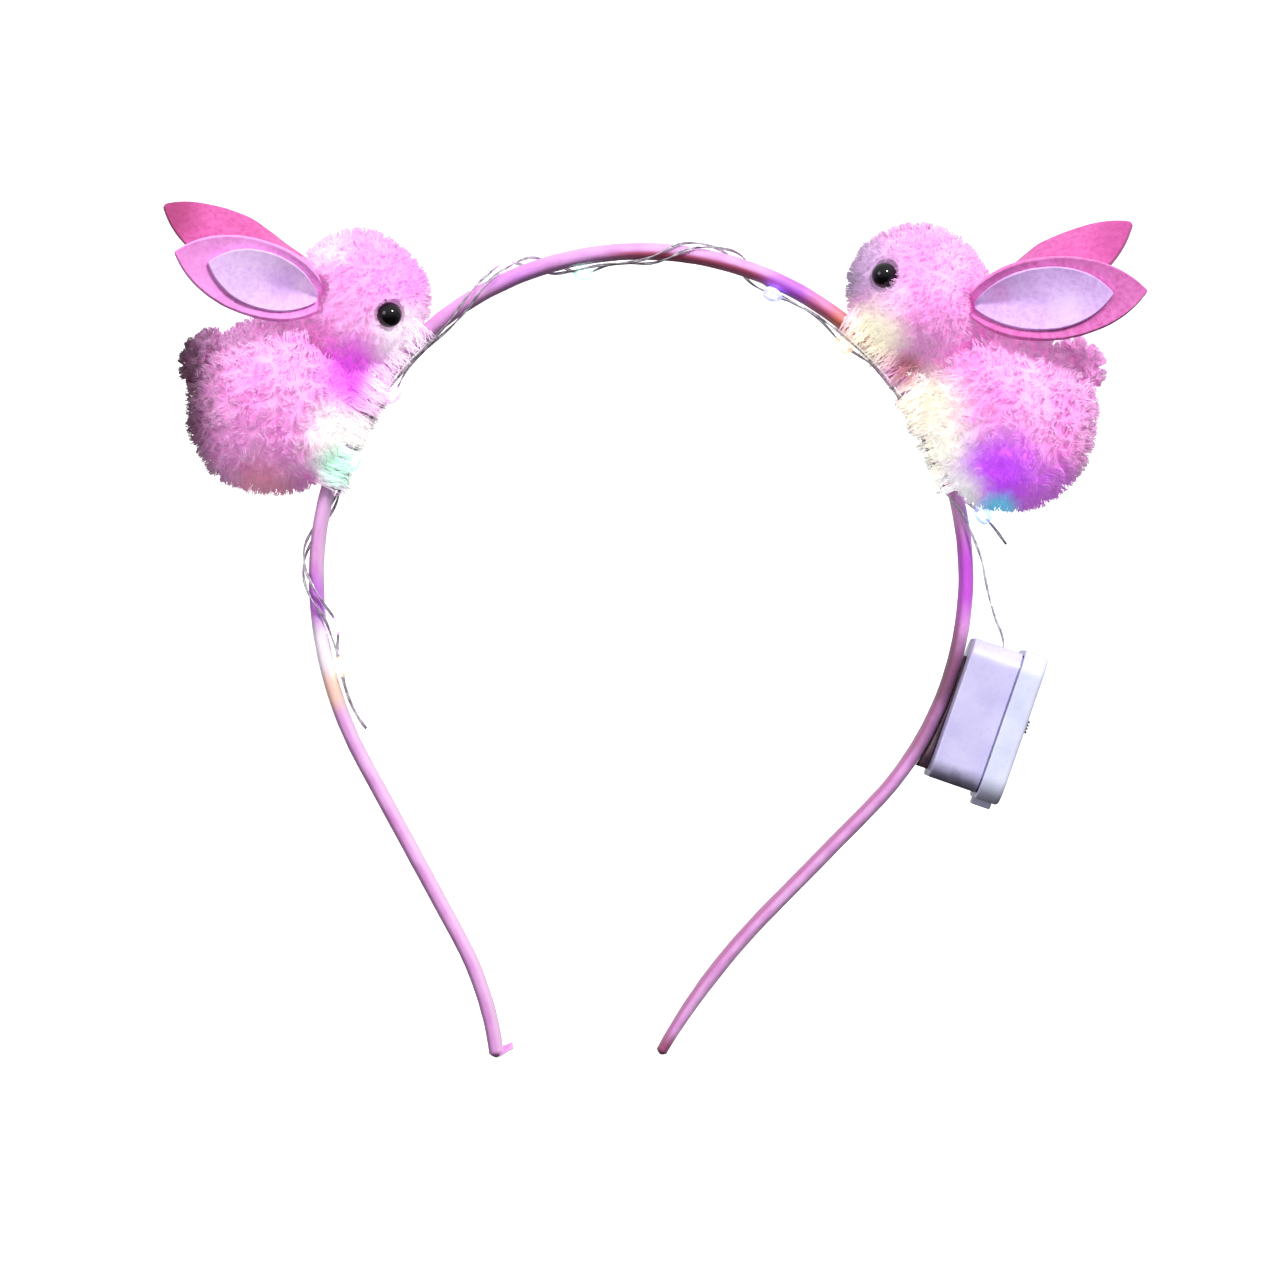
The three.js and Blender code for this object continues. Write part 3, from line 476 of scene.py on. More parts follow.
ribbon = new_piece("satin_ribbon", sleeve_points,
                   ring_faces(len(stations), SLEEVE_SIDES, flip=True))
uv = ribbon.data.uv_layers.new(name="ribbon")
for loop, (around, along) in zip(uv.data, ribbon_uv):
    loop.uv = (around / SLEEVE_SIDES, along * MM)


def grid_faces(rows, columns):
    starts = [i * (columns + 1) + j for i in range(rows) for j in range(columns)]
    return [(a, a + 1, a + columns + 2, a + columns + 1) for a in starts]


def soften(piece):
    soft = piece.modifiers.new("soft", "SUBSURF")
    soft.levels = soft.render_levels = 1


def thicken(piece, thickness):
    """Gives a sheet its thickness, half to each side, and rounds its edges."""
    body = piece.modifiers.new("thick", "SOLIDIFY")
    body.thickness = thickness * MM
    body.offset = 0
    soften(piece)


# The short tail of ribbon that stands at the left end
TAIL_WIDTH, TAIL_NARROWS, TAIL_LENGTH, TAIL_THICKNESS = 4.6, 2.4, 2.7, 0.45
TAIL_ROWS = 8
tail_seat = band_seat(-LEFT_LENGTH)
tail_points = []
for i in range(TAIL_ROWS + 1):
    for j in range(TAIL_ROWS + 1):
        down = i / TAIL_ROWS
        across = (j / TAIL_ROWS - 0.5) * (TAIL_WIDTH - TAIL_NARROWS * down)
        twist = 0.34 * across * (1 - 0.5 * down)
        sway = 0.9 * down + 0.25 * math.sin(1.9 * across) * down
        tail_points.append(tail_seat @ Vector((MM * (twist + sway), MM * across,
                                               MM * (-0.5 - TAIL_LENGTH * down))))
ribbon_tail = new_piece("ribbon_tail", tail_points, grid_faces(TAIL_ROWS, TAIL_ROWS))
thicken(ribbon_tail, TAIL_THICKNESS)

# Satin: long floats with a soft sheen, and the fine ribs of the weave across them
RIB_APART = 0.42 * MM
THREADS_ROUND = 46
satin, tree, shader = new_material("satin")
split = add_node(tree, "SeparateXYZ", Vector=add_node(tree, "UVMap", uv_map="ribbon"))
around, along = split.outputs["X"], split.outputs["Y"]
ribs = add_node(tree, "Math", operation="SINE",
                in0=multiplied(tree, along, 2 * math.pi / RIB_APART))
threads = add_node(tree, "Math", operation="SINE",
                   in0=multiplied(tree, around, 2 * math.pi * THREADS_ROUND))
weave = multiplied(tree, ribs, threads)
mottle = speckled(tree, 260.0, 4.0)
colour = blended(tree, ranged(tree, mottle, 0.3, 0.7), "df96dc", "efb6ee")
colour = blended(tree, ranged(tree, weave, -1.0, 1.0, 0.0, 0.16), colour, "b65fae")
# The inner face is painted warmer and darker, most so on the right of the crown: painted shade with
# warm lamp light. Down the legs one edge is painted paler and the other darker, as the light falls
# on them.
turned = add_node(tree, "Math", operation="SUBTRACT", in0=around, in1=0.5)
turned = add_node(tree, "Math", operation="ABSOLUTE", in0=turned)
inside = ranged(tree, turned, 0.26, 0.19, kind="SMOOTHSTEP")
crown = ranged(tree, along, -0.012, 0.0, kind="SMOOTHSTEP")
past = ranged(tree, along, 0.056, 0.04, kind="SMOOTHSTEP")
edge_out = ranged(tree, turned, 0.3, 0.42, kind="SMOOTHSTEP")
edge_in = ranged(tree, turned, 0.24, 0.12, kind="SMOOTHSTEP")
left_leg = ranged(tree, along, -0.078, -0.086)
right_leg = ranged(tree, along, 0.078, 0.086)
for shade, share, *masks in (
        ("bb5272", 0.95, inside, crown, past),
        ("9c5496", 0.9, left_leg, edge_out), ("fbd3f5", 0.7, left_leg, edge_in),
        ("fccff3", 0.45, right_leg, edge_out), ("a94b8c", 0.85, right_leg, edge_in)):
    for mask in masks:
        share = multiplied(tree, mask, share)
    colour = blended(tree, share, colour, shade)
# Painted lamp light and painted shade on the ribbon, with dark painted shade beside and under the
# box, and the right tip darker red.
BAND_PAINTED_LIGHT_AND_TIP = [
    (-22.7, -1.2, 8, "e08cf6", 0.6), (-10, 0.5, 7, "e6a8f0", 0.5), (26.8, -5.4, 7, "b957e6", 0.8),
    (33, -8.8, 6, "d96c9a", 0.6), (38, -12.5, 7, "e07a4a", 0.8), (43, -17.5, 6, "c76a62", 0.6),
    (*band_place(92)[:2], 11, "c63fdc", 0.9), (*band_place(110)[:2], 11, "6e3250", 0.85),
    (*band_place(122)[:2], 7, "8c4a72", 0.6), (-58.5, -62, 8, "c763e6", 0.75),
    (-56.9, -70.5, 8, "fff6ff", 0.95), (-55.5, -78, 5, "ffd9a8", 0.7), (-55, -45, 9, "f2c4f2", 0.5),
    (4.0, -142.6, 4.5, "8f3155", 0.85),
]
set_inputs(tree, shader, Base_Color=lit(tree, colour, BAND_PAINTED_LIGHT_AND_TIP),
           Normal=bumped(tree, weave, 0.35, 0.00004),
           Roughness=ranged(tree, mottle, 0.0, 1.0, 0.3, 0.52),
           Sheen_Weight=0.35, Sheen_Roughness=0.4)
hand_over(ribbon, satin, "headband", "satin", "satin_sleeve", "right_tip_fold")
hand_over(ribbon_tail, satin, "headband", "satin", "left_tip_fold")

core_steel, _, _ = grained("spring_strip_steel", "8e9197", "c9ccd1", 500, 0.25, 0.42, metallic=1.0)
dress(NODES["band_core"], core_steel)


# ---- The ears ----
# Each ear is a leaf of hot pink wool felt with a smaller leaf of pale lilac felt glued on
# it. Both are pinched together at the root, so they cup, and the root is pushed into the
# fur of the head and glued.
OUTER_FELT, INNER_FELT, EAR_ROOT, LINING_ROOT = 1.2, 0.9, 2.0, 0.5
RABBITS = {
    "left": dict(
        head=(-47.1, 12.5), leaf=(29.5, 14.4), pale=(22.4, 12.2),
        near=(-6.3, 7.2, 0.2, 163, 29, 0), far=(-8.4, 4, 5.7, 156, 4, 37)),
    "right": dict(
        head=(46.3, 12.4), leaf=(32.4, 15.8), pale=(25.6, 13.6),
        near=(8.6, 7.2, -1.6, 4, 19, 0), far=(9.4, 4, -0.6, 26, 2, -42)),
}
EAR_ROWS, EAR_COLUMNS = 34, 16
PRESSED = 0.9       # the felt's thickness as a share of what its packed leaf has


def ear_frame(rabbit, which):
    across, depth, rise, turn, fan, roll = rabbit[which]
    side = -1 if which == "near" else 1
    head = band_seat(*rabbit["head"]).translation
    place = Matrix.Translation(head + MM * Vector((across, side * depth, rise)))
    turn, fan, roll = (math.radians(a) for a in (turn, fan, roll))
    spin = (Matrix.Rotation(-turn, 4, "Y") @ Matrix.Rotation(side * fan, 4, "Z")
            @ Matrix.Rotation(-side * math.pi / 2 + roll, 4, "X"))
    return place @ spin


def leaf_edge(length, width, root, t):
    """Along and half across a leaf's edge at t from its root to its tip."""
    s = 1 - t
    x = 3 * s * t * t * 0.78 * length + 3 * s * s * t * 0.26 * length + t**3 * length
    y = s**3 * root + 3 * s * s * t * (0.45 + 0.075 * root) * width + 3 * s * t * t * 0.6 * width
    return x, y


def felt_rise(x, y, length, phase):
    """How far the cupped felt stands off its flat cut."""
    near_root = max(0.0, 1 - x / (0.5 * length))
    cup = 0.022 * y * y + 0.1 * near_root * y * y
    crease = -0.5 * near_root * math.exp(-(y / 0.8) ** 2)
    wave = 0.28 * noise.noise(Vector((x * 0.13 + phase, y * 0.16, phase)))
    return cup + crease + wave - 0.0022 * (x - 0.3 * length) ** 2


def felt_leaf(name, place, length, width, root, base, thickness, ear_length, start, phase):
    """A leaf of felt, cupped as the whole ear is, from its start along the ear."""
    points = []
    for i in range(EAR_ROWS + 1):
        x, half = leaf_edge(length, width, root, i / EAR_ROWS)
        half = max(half, 0.12)
        for j in range(EAR_COLUMNS + 1):
            y = half * math.sin((j / EAR_COLUMNS - 0.5) * math.pi)
            ragged = 1 + 0.012 * noise.noise(Vector((x * 1.3, y * 1.3, phase)))
            z = base + thickness / 2 + felt_rise(x + start, y, ear_length, phase)
            points.append(place @ Vector((MM * (x + start), MM * y * ragged, MM * z)))
    piece = new_piece(name, points, grid_faces(EAR_ROWS, EAR_COLUMNS))
    thicken(piece, thickness * PRESSED)
    return piece


# Pressed felt: short matted fibres, a little lighter and darker from one to the next
FIBRE_WANDER = (0.004, 0.004, 0.004)
felt, felt_in, felt_out = new_group(
    "Matted fibres", dict(Deep="Color", Pale="Color"), dict(Colour="Color", Height="Float"))
where = add_node(felt, "TexCoord").outputs["Object"]
clouds = speckled(felt, 190.0, 3.0)
warp = add_node(felt, "VectorMath", operation="MULTIPLY_ADD", in0=clouds.outputs["Color"],
                in1=FIBRE_WANDER, in2=where)
fibres = add_node(felt, "TexNoise", Vector=warp, Scale=1500.0, Detail=5.0, Roughness=0.7)
cells = add_node(felt, "TexVoronoi", Vector=warp, Scale=900.0)
mat = add_node(felt, "Math", operation="MULTIPLY_ADD", in0=cells, in1=0.5, in2=fibres)
cloud = add_node(felt, "Math", operation="MULTIPLY_ADD", in0=clouds, in1=0.7,
                 in2=ranged(felt, mat, 0.45, 0.95))
set_inputs(felt, felt_out, Height=mat,
           Colour=blended(felt, multiplied(felt, cloud, 0.6), felt_in["Deep"], felt_in["Pale"]))


def felt_material(name, deep, pale, painted_lights):
    material, tree, shader = new_material(name, roughness=0.92)
    fibres = add_node(tree, "Group", node_tree=felt, Deep=deep, Pale=pale)
    set_inputs(tree, shader, Base_Color=lit(tree, fibres, painted_lights),
               Normal=bumped(tree, fibres.outputs["Height"], 0.5, 0.00012),
               Sheen_Weight=0.3, Specular_IOR_Level=0.2)
    return material


# Each ear's felt is its own copy, set lighter or darker as the light falls on that ear, which is
# painted light and painted shade; each list adds patches of painted light and painted shade, such
# as the far ears' darker tips and the linings' lighter lower halves.
HOT_FELT = {
    ("left", "near"): ("e681d2", "fbaaf0", [(-84, -2, 9, "e06ac6", 0.4)]),
    ("left", "far"): ("b93f86", "dc6ab4", [(-86, 8.5, 9, "93305e", 0.75)]),
    ("right", "near"): ("c54f9d", "e584cc", [(62, -6, 8, "ee88da", 0.5)]),
    ("right", "far"): ("bd4290", "de6cb8", [(86, 4, 7, "a3387a", 0.4)]),
}
PALE_FELT = {
    "left": ("d9a9ec", "f0d2fb", [(-64, -5, 5, "b983dc", 0.6)]),
    "right": ("c197de", "e2c0f6", [(76, -9.5, 6, "ecd2fb", 0.8), (64, -6.5, 4, "d062b4", 0.5)]),
}
ears = []
for name, rabbit in RABBITS.items():
    for which in ("near", "far"):
        place = ear_frame(rabbit, which)
        phase = 2.0 * len(ears) + 0.7
        length, width = rabbit["leaf"]
        hot = felt_leaf(f"{name}_{which}_ear_leaf", place, length, width, EAR_ROOT, 0, OUTER_FELT,
                        length, 0, phase)
        pale_length, pale_width = rabbit["pale"]
        pale = felt_leaf(f"{name}_{which}_ear_lining", place, pale_length, pale_width,
                         LINING_ROOT, OUTER_FELT + 0.1, INNER_FELT, length, 1, phase)
        hand_over(hot, felt_material(f"hot_felt_{name}_{which}", *HOT_FELT[name, which]),
                  "headband", "hot_felt", f"{name}_{which}_ear_outer")
        hand_over(pale, felt_material(f"pale_felt_{name}_{which}", *PALE_FELT[name]),
                  "headband", "pale_felt", f"{name}_{which}_ear_inner")
        ears += [hot, pale]


# ---- The eyes ----
# Polished black plastic beads with a flat back and a short shank, pushed into the fur and
# glued.
EYE_RADIUS = 2.35
EYE_PROFILE = [(0, 1.0), (0.34, 0.94), (0.64, 0.77), (0.87, 0.49), (0.985, 0.17), (0.985, -0.17),
               (0.87, -0.49), (0.62, -0.74), (0.3, -0.8), (0.26, -1.0), (0.2, -1.25), (0, -1.27)]


def lathe(name, profile, place, sides):
    """A turned piece: (radius, height) pairs from one end on the axis to the other."""
    points, faces = [], []
    rings = profile[1:-1]
    for radius, height in rings:
        for k in range(sides):
            turn = 2 * math.pi * k / sides
            rim = Vector((radius * math.cos(turn), radius * math.sin(turn), height))
            points.append(place @ rim)
    faces = ring_faces(len(rings), sides, flip=True)[:-2]
    top, bottom = len(points), len(points) + 1
    points += [place @ Vector((0, 0, profile[0][1])), place @ Vector((0, 0, profile[-1][1]))]
    last = (len(rings) - 1) * sides
    for k in range(sides):
        faces.append((top, k, (k + 1) % sides))
        faces.append((bottom, last + (k + 1) % sides, last + k))
    piece = new_piece(name, points, faces)
    soften(piece)
    return piece


def facing(centre, direction):
    """A frame at a centre, with its z axis along a direction."""
    turn = direction.normalized().to_track_quat("Z", "Y")
    return Matrix.Translation(centre) @ turn.to_matrix().to_4x4()


bead, tree, shader = grained("polished_bead", "050305", "0b080c", 400, 0.03, 0.09, bump=0.02)
set_inputs(tree, shader, Specular_IOR_Level=0.4)
bead_profile = [(EYE_RADIUS * MM * r, EYE_RADIUS * MM * h) for r, h in EYE_PROFILE]
eyes = []
for name, rabbit in RABBITS.items():
    head = band_seat(*rabbit["head"]).translation
    for which in ("near", "far"):
        low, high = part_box(f"{name}_{which}_eye")
        centre = (low + high) / 2
        eye = lathe(f"{name}_{which}_eye_bead", bead_profile, facing(centre, centre - head), 28)
        hand_over(eye, bead, "headband", "eye_bead", f"{name}_{which}_eye")
        eyes.append(eye)


# ---- The glue ----
# Hot glue holds both pompoms and the box to the ribbon: uneven, waxy pads that were
# pressed flat between the two while soft.
GLUE_VOXEL, GLUE_LUMP, GLUE_LUMP_SIZE = 0.25, 0.12, 1.6
glue, _, _ = grained("set_hot_glue", "dccfb8", "f6ecd8", 300, 0.3, 0.5, bump=0.2, depth=0.0001)


def flattened(piece):
    """Makes a piece's modifiers part of its mesh."""
    shown = piece.evaluated_get(bpy.context.evaluated_depsgraph_get())
    made = bpy.data.meshes.new_from_object(shown)
    piece.modifiers.clear()
    piece.data = made
    return made


def pushed_out(mesh, height):
    """Moves each corner of a mesh along its normal by height(place)."""
    for vertex, normal in zip(mesh.vertices, [v.normal.copy() for v in mesh.vertices]):
        vertex.co += normal * height(vertex.co)
    mesh.update()


def settled(node, name, voxel, smoothing):
    """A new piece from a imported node, remeshed finely and smoothed."""
    piece = bpy.data.objects.new(name, NODES[node].data.copy())
    bpy.context.scene.collection.objects.link(piece)
    remesh = piece.modifiers.new("even", "REMESH")
    remesh.mode = "VOXEL"
    remesh.voxel_size = voxel * MM
    ease = piece.modifiers.new("ease", "SMOOTH")
    ease.iterations = smoothing
    ease.factor = 0.5
    made = flattened(piece)
    made.name = name
    made.shade_smooth()
    return piece


for node in ("left_body_glue", "left_head_glue", "right_body_glue", "right_head_glue"):
    pad = settled(node, f"{node}_pad", GLUE_VOXEL, 2)
    pushed_out(pad.data, lambda place: GLUE_LUMP * MM * noise.noise(place / (GLUE_LUMP_SIZE * MM)))
    hand_over(pad, glue, "headband", "hot_glue", node)

# Under the box the glue is a wedge: it fills what is left between the curved band and the
# box's flat back
WEDGE_FROM, WEDGE_TO, WEDGE_HALF = 106, 127.2, 2.6
WEDGE_SIDES, WEDGE_RINGS, WEDGE_SQUARE = 20, 26, 0.6
WEDGE_THINNEST, WEDGE_FILL, WEDGE_BULGE, WEDGE_ROUNDING = 0.05, 0.94, 0.16, 9
into_box = BOX_FRAME.inverted()
wedge_points = []
for i in range(WEDGE_RINGS):
    t = i / (WEDGE_RINGS - 1)
    seat = band_seat(WEDGE_FROM + t * (WEDGE_TO - WEDGE_FROM))
    under = into_box @ (seat @ Vector((0, 0, MM * BAND_THICKNESS / 2)))
    end = max(0.25, min(1.0, WEDGE_ROUNDING * t, WEDGE_ROUNDING * (1 - t))) ** 0.5
    thick = max(WEDGE_THINNEST * MM, -under.z) * WEDGE_FILL
    for k in range(WEDGE_SIDES):
        turn = 2 * math.pi * k / WEDGE_SIDES
        c, s = math.cos(turn), math.sin(turn)
        bulge = 1 + WEDGE_BULGE * noise.noise(Vector((i * 0.21, 2 * c, 2 * s)))
        y = MM * WEDGE_HALF * end * bulge * math.copysign(abs(c) ** WEDGE_SQUARE, c)
        z = under.z * 0.5 + 0.5 * thick * math.copysign(abs(s) ** WEDGE_SQUARE, s)
        wedge_points.append(BOX_FRAME @ Vector((under.x, y, z)))
wedge = new_piece("box_glue_wedge", wedge_points, ring_faces(WEDGE_RINGS, WEDGE_SIDES))
# The wedge's glue is painted dark: painted shade between the band and the box.
painted_shade_glue, _, _ = grained("shaded_hot_glue", "5d414d", "80606e", 300, 0.3, 0.5, bump=0.2,
                            depth=0.0001)
hand_over(wedge, painted_shade_glue, "headband", "hot_glue", "box_glue")


# ---- The fur ----
# Each rabbit is three pompoms of soft acrylic yarn, bound, brushed out and trimmed round:
# body, head and tail. The cut ends gather in small curly tufts. The cores are shaped from
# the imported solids, a little smaller, and the yarn ends grow out of them.
RNG = np.random.default_rng(7)
FUR = {
    # part: (voxel, inset, lump, tuft spacing, ends, length, width, gather, curl)
    "body": (0.62, 0.8, 0.5, 2.3, 9100, 1.95, 0.19, 0.55, 0.5),
    "head": (0.55, 0.5, 0.22, 1.7, 9000, 1.3, 0.155, 0.42, 0.28),
    "tail": (0.5, 0.7, 0.35, 1.9, 2900, 1.7, 0.18, 0.55, 0.45),
}
# One yarn end: three rings of three corners and a point, closed at the root
END_RINGS = 3
END_FACES = [(0, 2, 1)]
END_UV = [[(0.5, 0.0), (0.55, 0.0), (0.5, 0.02)]]
for ring in range(END_RINGS - 1):
    for k in range(3):
        a, b = 3 * ring + k, 3 * ring + (k + 1) % 3
        u0, u1, v0, v1 = k / 3, (k + 1) / 3, ring / END_RINGS, (ring + 1) / END_RINGS
        END_FACES += [(a, b, b + 3), (a, b + 3, a + 3)]
        END_UV += [[(u0, v0), (u1, v0), (u1, v1)], [(u0, v0), (u1, v1), (u0, v1)]]
for k in range(3):
    a, b, base = 3 * (END_RINGS - 1) + k, 3 * (END_RINGS - 1) + (k + 1) % 3, 1 - 1 / END_RINGS
    END_FACES.append((a, b, 3 * END_RINGS))
    END_UV.append([(k / 3, base), ((k + 1) / 3, base), ((k + 0.5) / 3, 1.0)])
END_FACES = np.array(END_FACES)
END_UV = np.array(END_UV)
END_CORNERS = 3 * END_RINGS + 1
TUFT_APART = 2.3        # between the tufts along the band's edges
ENDS_SHARE = 0.62       # how much of the map's height the yarn ends take
TUFTS_TRIED = 4000
END_WIDTHS = (0.55, 1.0, 0.8)       # of the full width, from the root on
OWN_ROUND = 0.45        # how much of its own round each yarn end takes the light on


def in_the_way(pieces):
    """One search tree for the pieces that the yarn ends have to miss."""
    scene_now = bpy.context.evaluated_depsgraph_get()
    points, faces = [], []
    for piece in pieces:
        shown = piece.evaluated_get(scene_now)
        mesh = shown.to_mesh()
        start = len(points)
        points += [v.co.copy() for v in mesh.vertices]
        faces += [tuple(start + i for i in p.vertices) for p in mesh.polygons]
        shown.to_mesh_clear()
    return BVHTree.FromPolygons(points, faces)


def spread_points(mesh, count):
    """Points on a mesh, evenly by area, with their normals."""
    mesh.calc_loop_triangles()
    corners = np.array([t.vertices for t in mesh.loop_triangles])
    co = np.array([v.co for v in mesh.vertices])
    normals = np.array([v.normal for v in mesh.vertices])
    a, b, c = (co[corners[:, i]] for i in range(3))
    area = np.linalg.norm(np.cross(b - a, c - a), axis=1)
    chosen = RNG.choice(len(corners), count, p=area / area.sum())
    u, v = RNG.random((2, count))
    over = u + v > 1
    u[over], v[over] = 1 - u[over], 1 - v[over]
    w = 1 - u - v
    points = a[chosen] * w[:, None] + b[chosen] * u[:, None] + c[chosen] * v[:, None]
    na, nb, nc = (normals[corners[chosen, i]] for i in range(3))
    normal = na * w[:, None] + nb * u[:, None] + nc * v[:, None]
    return points, normal / np.linalg.norm(normal, axis=1)[:, None]


def tufts_on(mesh, spacing):
    """Tuft middles at least a spacing apart."""
    points, normals = spread_points(mesh, TUFTS_TRIED)
    kept, cells, beside = [], {}, (-1, 0, 1)
    for i, p in enumerate(points):
        x, y, z = key = tuple((p // spacing).astype(int))
        near = [j for dx in beside for dy in beside for dz in beside
                for j in cells.get((x + dx, y + dy, z + dz), ())]
        if all(np.linalg.norm(points[j] - p) > spacing for j in near):
            cells.setdefault(key, []).append(i)
            kept.append(i)
    return points[kept], normals[kept]


def yarn_ends(mesh, ends, length, gather, curl, spacing, obstacles):
    """Four places along each yarn end, its root on the mesh and its tip in a tuft, and the
    way that is out from the mesh there."""
    middles, middle_normals = tufts_on(mesh, spacing)
    finder = KDTree(len(middles))
    for i, p in enumerate(middles):
        finder.insert(p, i)
    finder.balance()
    reach = length * RNG.uniform(0.82, 1.15, len(middles))
    lean = RNG.normal(0, 0.28, (len(middles), 3))
    spin = RNG.choice([-1, 1], len(middles)) * RNG.uniform(0.5, 1.0, len(middles))
    roots, normals = spread_points(mesh, ends)
    strands, outward = [], []
    for root, normal in zip(roots, normals):
        _, i, _ = finder.find(root)
        direction = middle_normals[i] + lean[i]
        goal = middles[i] + direction / np.linalg.norm(direction) * reach[i]
        straight = root + normal * length * RNG.uniform(0.75, 1.05)
        tip = straight + (goal - straight) * gather
        side = np.cross(normal, root - middles[i])
        side = side / (np.linalg.norm(side) + 1e-9) * curl * length * spin[i]
        wander = RNG.normal(0, 0.1 * length, 3)
        ray = tip - root
        far = float(np.linalg.norm(ray))
        hit = obstacles.ray_cast(Vector(root), Vector(ray / far), far * 1.2)
        if hit[0] is not None:
            if hit[3] < 0.2 * far:
                continue
            short = 0.75 * hit[3] / far
            tip, side, wander = root + ray * short, side * short * 0.5, wander * 0.3
        strands.append([root - normal * 0.15 * length,
                        root * 0.56 + tip * 0.44 + side * 0.5,
                        root * 0.22 + tip * 0.78 + side + wander * 0.4 + normal * 0.06 * far,
                        tip + side * 0.35 + wander])
        outward.append(normal)
    return np.array(strands), np.array(outward)


def hung_ends(rows):
    """Yarn ends that hang past the band's edges or bridge a gap, in the band's own places."""
    strands, outward = [], []
    for (first, last), root_out, tip_out, root_front, tip_front, slant, count in rows:
        for i in range(count):
            side = -1 if i % 2 else 1
            station = RNG.uniform(first, last)
            tuft = TUFT_APART * (round(station / TUFT_APART)
                                 + 0.4 * noise.noise(Vector((station, side, 0))))
            lean = 0.65 * (tuft - station) + 2.4 * noise.noise(Vector((1.7 * tuft, side, 3)))
            fall = 0.9 * noise.noise(Vector((2.3 * tuft, side, 8)))
            root = band_seat(station) @ Vector((0, side * MM * RNG.uniform(*root_front),
                                                MM * RNG.uniform(*root_out)))
            tip = band_seat(station + slant + lean + RNG.normal(0, 0.5)) @ Vector(
                (0, side * MM * RNG.uniform(*tip_front), MM * (RNG.uniform(*tip_out) + fall)))
            bow = Vector((0, side * 0.5 * MM, 0))
            sway = Vector(RNG.normal(0, 0.32 * MM, 3))
            strands.append([np.array(p) for p in (
                root, root.lerp(tip, 0.4) + bow + sway, root.lerp(tip, 0.8) + 0.6 * bow - sway,
                tip)])
            outward.append((0, side, 0))
    return np.array(strands), np.array(outward, float)


def end_corners(strands, width):
    """The corners of each yarn end: three rings of three, and the point."""
    along = strands[:, 3] - strands[:, 0]
    along /= np.linalg.norm(along, axis=1)[:, None]
    side = np.cross(along, RNG.normal(0, 1, along.shape))
    side /= np.linalg.norm(side, axis=1)[:, None]
    up = np.cross(along, side)
    widths = width * np.array(END_WIDTHS) / 2
    points = np.zeros((len(strands), END_CORNERS, 3))
    for ring in range(END_RINGS):
        for k in range(3):
            turn = 2 * math.pi * k / 3
            offset = side * math.cos(turn) + up * math.sin(turn)
            points[:, 3 * ring + k] = strands[:, ring] + offset * widths[ring]
    points[:, 3 * END_RINGS] = strands[:, 3]
    return points


def furry(name, node, settings, hung, obstacles):
    """A pompom: its lumpy core and all its yarn ends in one mesh."""
    voxel, inset, lump, spacing, ends, length, width, gather, curl = settings
    core = settled(node, name, voxel, 5)
    mesh = core.data
    pushed_out(mesh, lambda place: MM * (lump * (
        noise.noise(place / (6 * MM)) * 0.6
        + noise.noise(place / (spacing * MM * 1.15)) * 0.7) - inset))
    strands, outward = yarn_ends(mesh, ends, length * MM, gather, curl, spacing * MM, obstacles)
    if hung:
        more, more_outward = hung_ends(hung)
        strands, outward = np.vstack([strands, more]), np.vstack([outward, more_outward])
    points = end_corners(strands, width * MM)
    mesh.calc_loop_triangles()
    co = np.array([v.co for v in mesh.vertices])
    faces = np.array([t.vertices for t in mesh.loop_triangles])
    start, count = len(co), len(points)
    end_starts = start + np.arange(count)[:, None, None] * END_CORNERS
    all_points = np.vstack([co, points.reshape(-1, 3)])
    all_faces = np.vstack([faces, (end_starts + END_FACES[None]).reshape(-1, 3)])
    whole = bpy.data.meshes.new(name)
    whole.vertices.add(len(all_points))
    whole.vertices.foreach_set("co", all_points.astype(np.float32).ravel())
    whole.loops.add(3 * len(all_faces))
    whole.loops.foreach_set("vertex_index", all_faces.astype(np.int32).ravel())
    whole.polygons.add(len(all_faces))
    whole.polygons.foreach_set("loop_start", np.arange(0, 3 * len(all_faces), 3, dtype=np.int32))
    whole.update(calc_edges=True)
    whole.validate()
    whole.shade_smooth()
    # The yarn takes the light as the round of the pompom does, with a little of its own
    core_out = np.array([v.normal for v in mesh.vertices])
    away = points - points.mean(1, keepdims=True)
    away /= np.linalg.norm(away, axis=2, keepdims=True) + 1e-12
    ends_out = outward[:, None, :] + OWN_ROUND * away
    ends_out /= np.linalg.norm(ends_out, axis=2, keepdims=True)
    normals = np.vstack([core_out, ends_out.reshape(-1, 3)])
    whole.normals_split_custom_set_from_vertices(normals.tolist())
    rise = np.repeat([0.0, 0.5, 0.85, 1.0], [3, 3, 3, 1])
    tip = np.concatenate([np.zeros(start), np.tile(rise, count)])
    shade = np.concatenate([np.full(start, 0.5), np.repeat(RNG.random(count), END_CORNERS)])
    for label, values in (("tip", tip), ("end_shade", shade)):
        attribute = whole.attributes.new(label, "FLOAT", "POINT")
        attribute.data.foreach_set("value", values.astype(np.float32))
    # A map named OFBake: a cell for each yarn end, and the core from the front and back
    across = int(math.ceil(math.sqrt(count / ENDS_SHARE)))
    rows = int(math.ceil(count / across))
    cell = np.array([1 / across, ENDS_SHARE / rows])
    corner = np.stack([np.arange(count) % across, np.arange(count) // across], 1) * cell
    ends_uv = corner[:, None, None] + (0.1 + 0.8 * END_UV[None]) * cell
    middle, half = (co.max(0) + co.min(0)) / 2, (co.max(0) - co.min(0)).max() / 2
    flat = (co[faces] - middle) / half
    normal = np.cross(flat[:, 1] - flat[:, 0], flat[:, 2] - flat[:, 0])
    back = (normal[:, 1] > 0)[:, None]
    core_uv = np.stack([0.25 + 0.235 * flat[..., 0] + 0.5 * back,
                        (1 + ENDS_SHARE) / 2 + (1 - ENDS_SHARE) * 0.48 * flat[..., 2]], -1)
    layer = whole.uv_layers.new(name="OFBake")
    places = np.concatenate([core_uv.ravel(), ends_uv.ravel()])
    layer.data.foreach_set("uv", places.astype(np.float32))
    core.data = whole
    return core
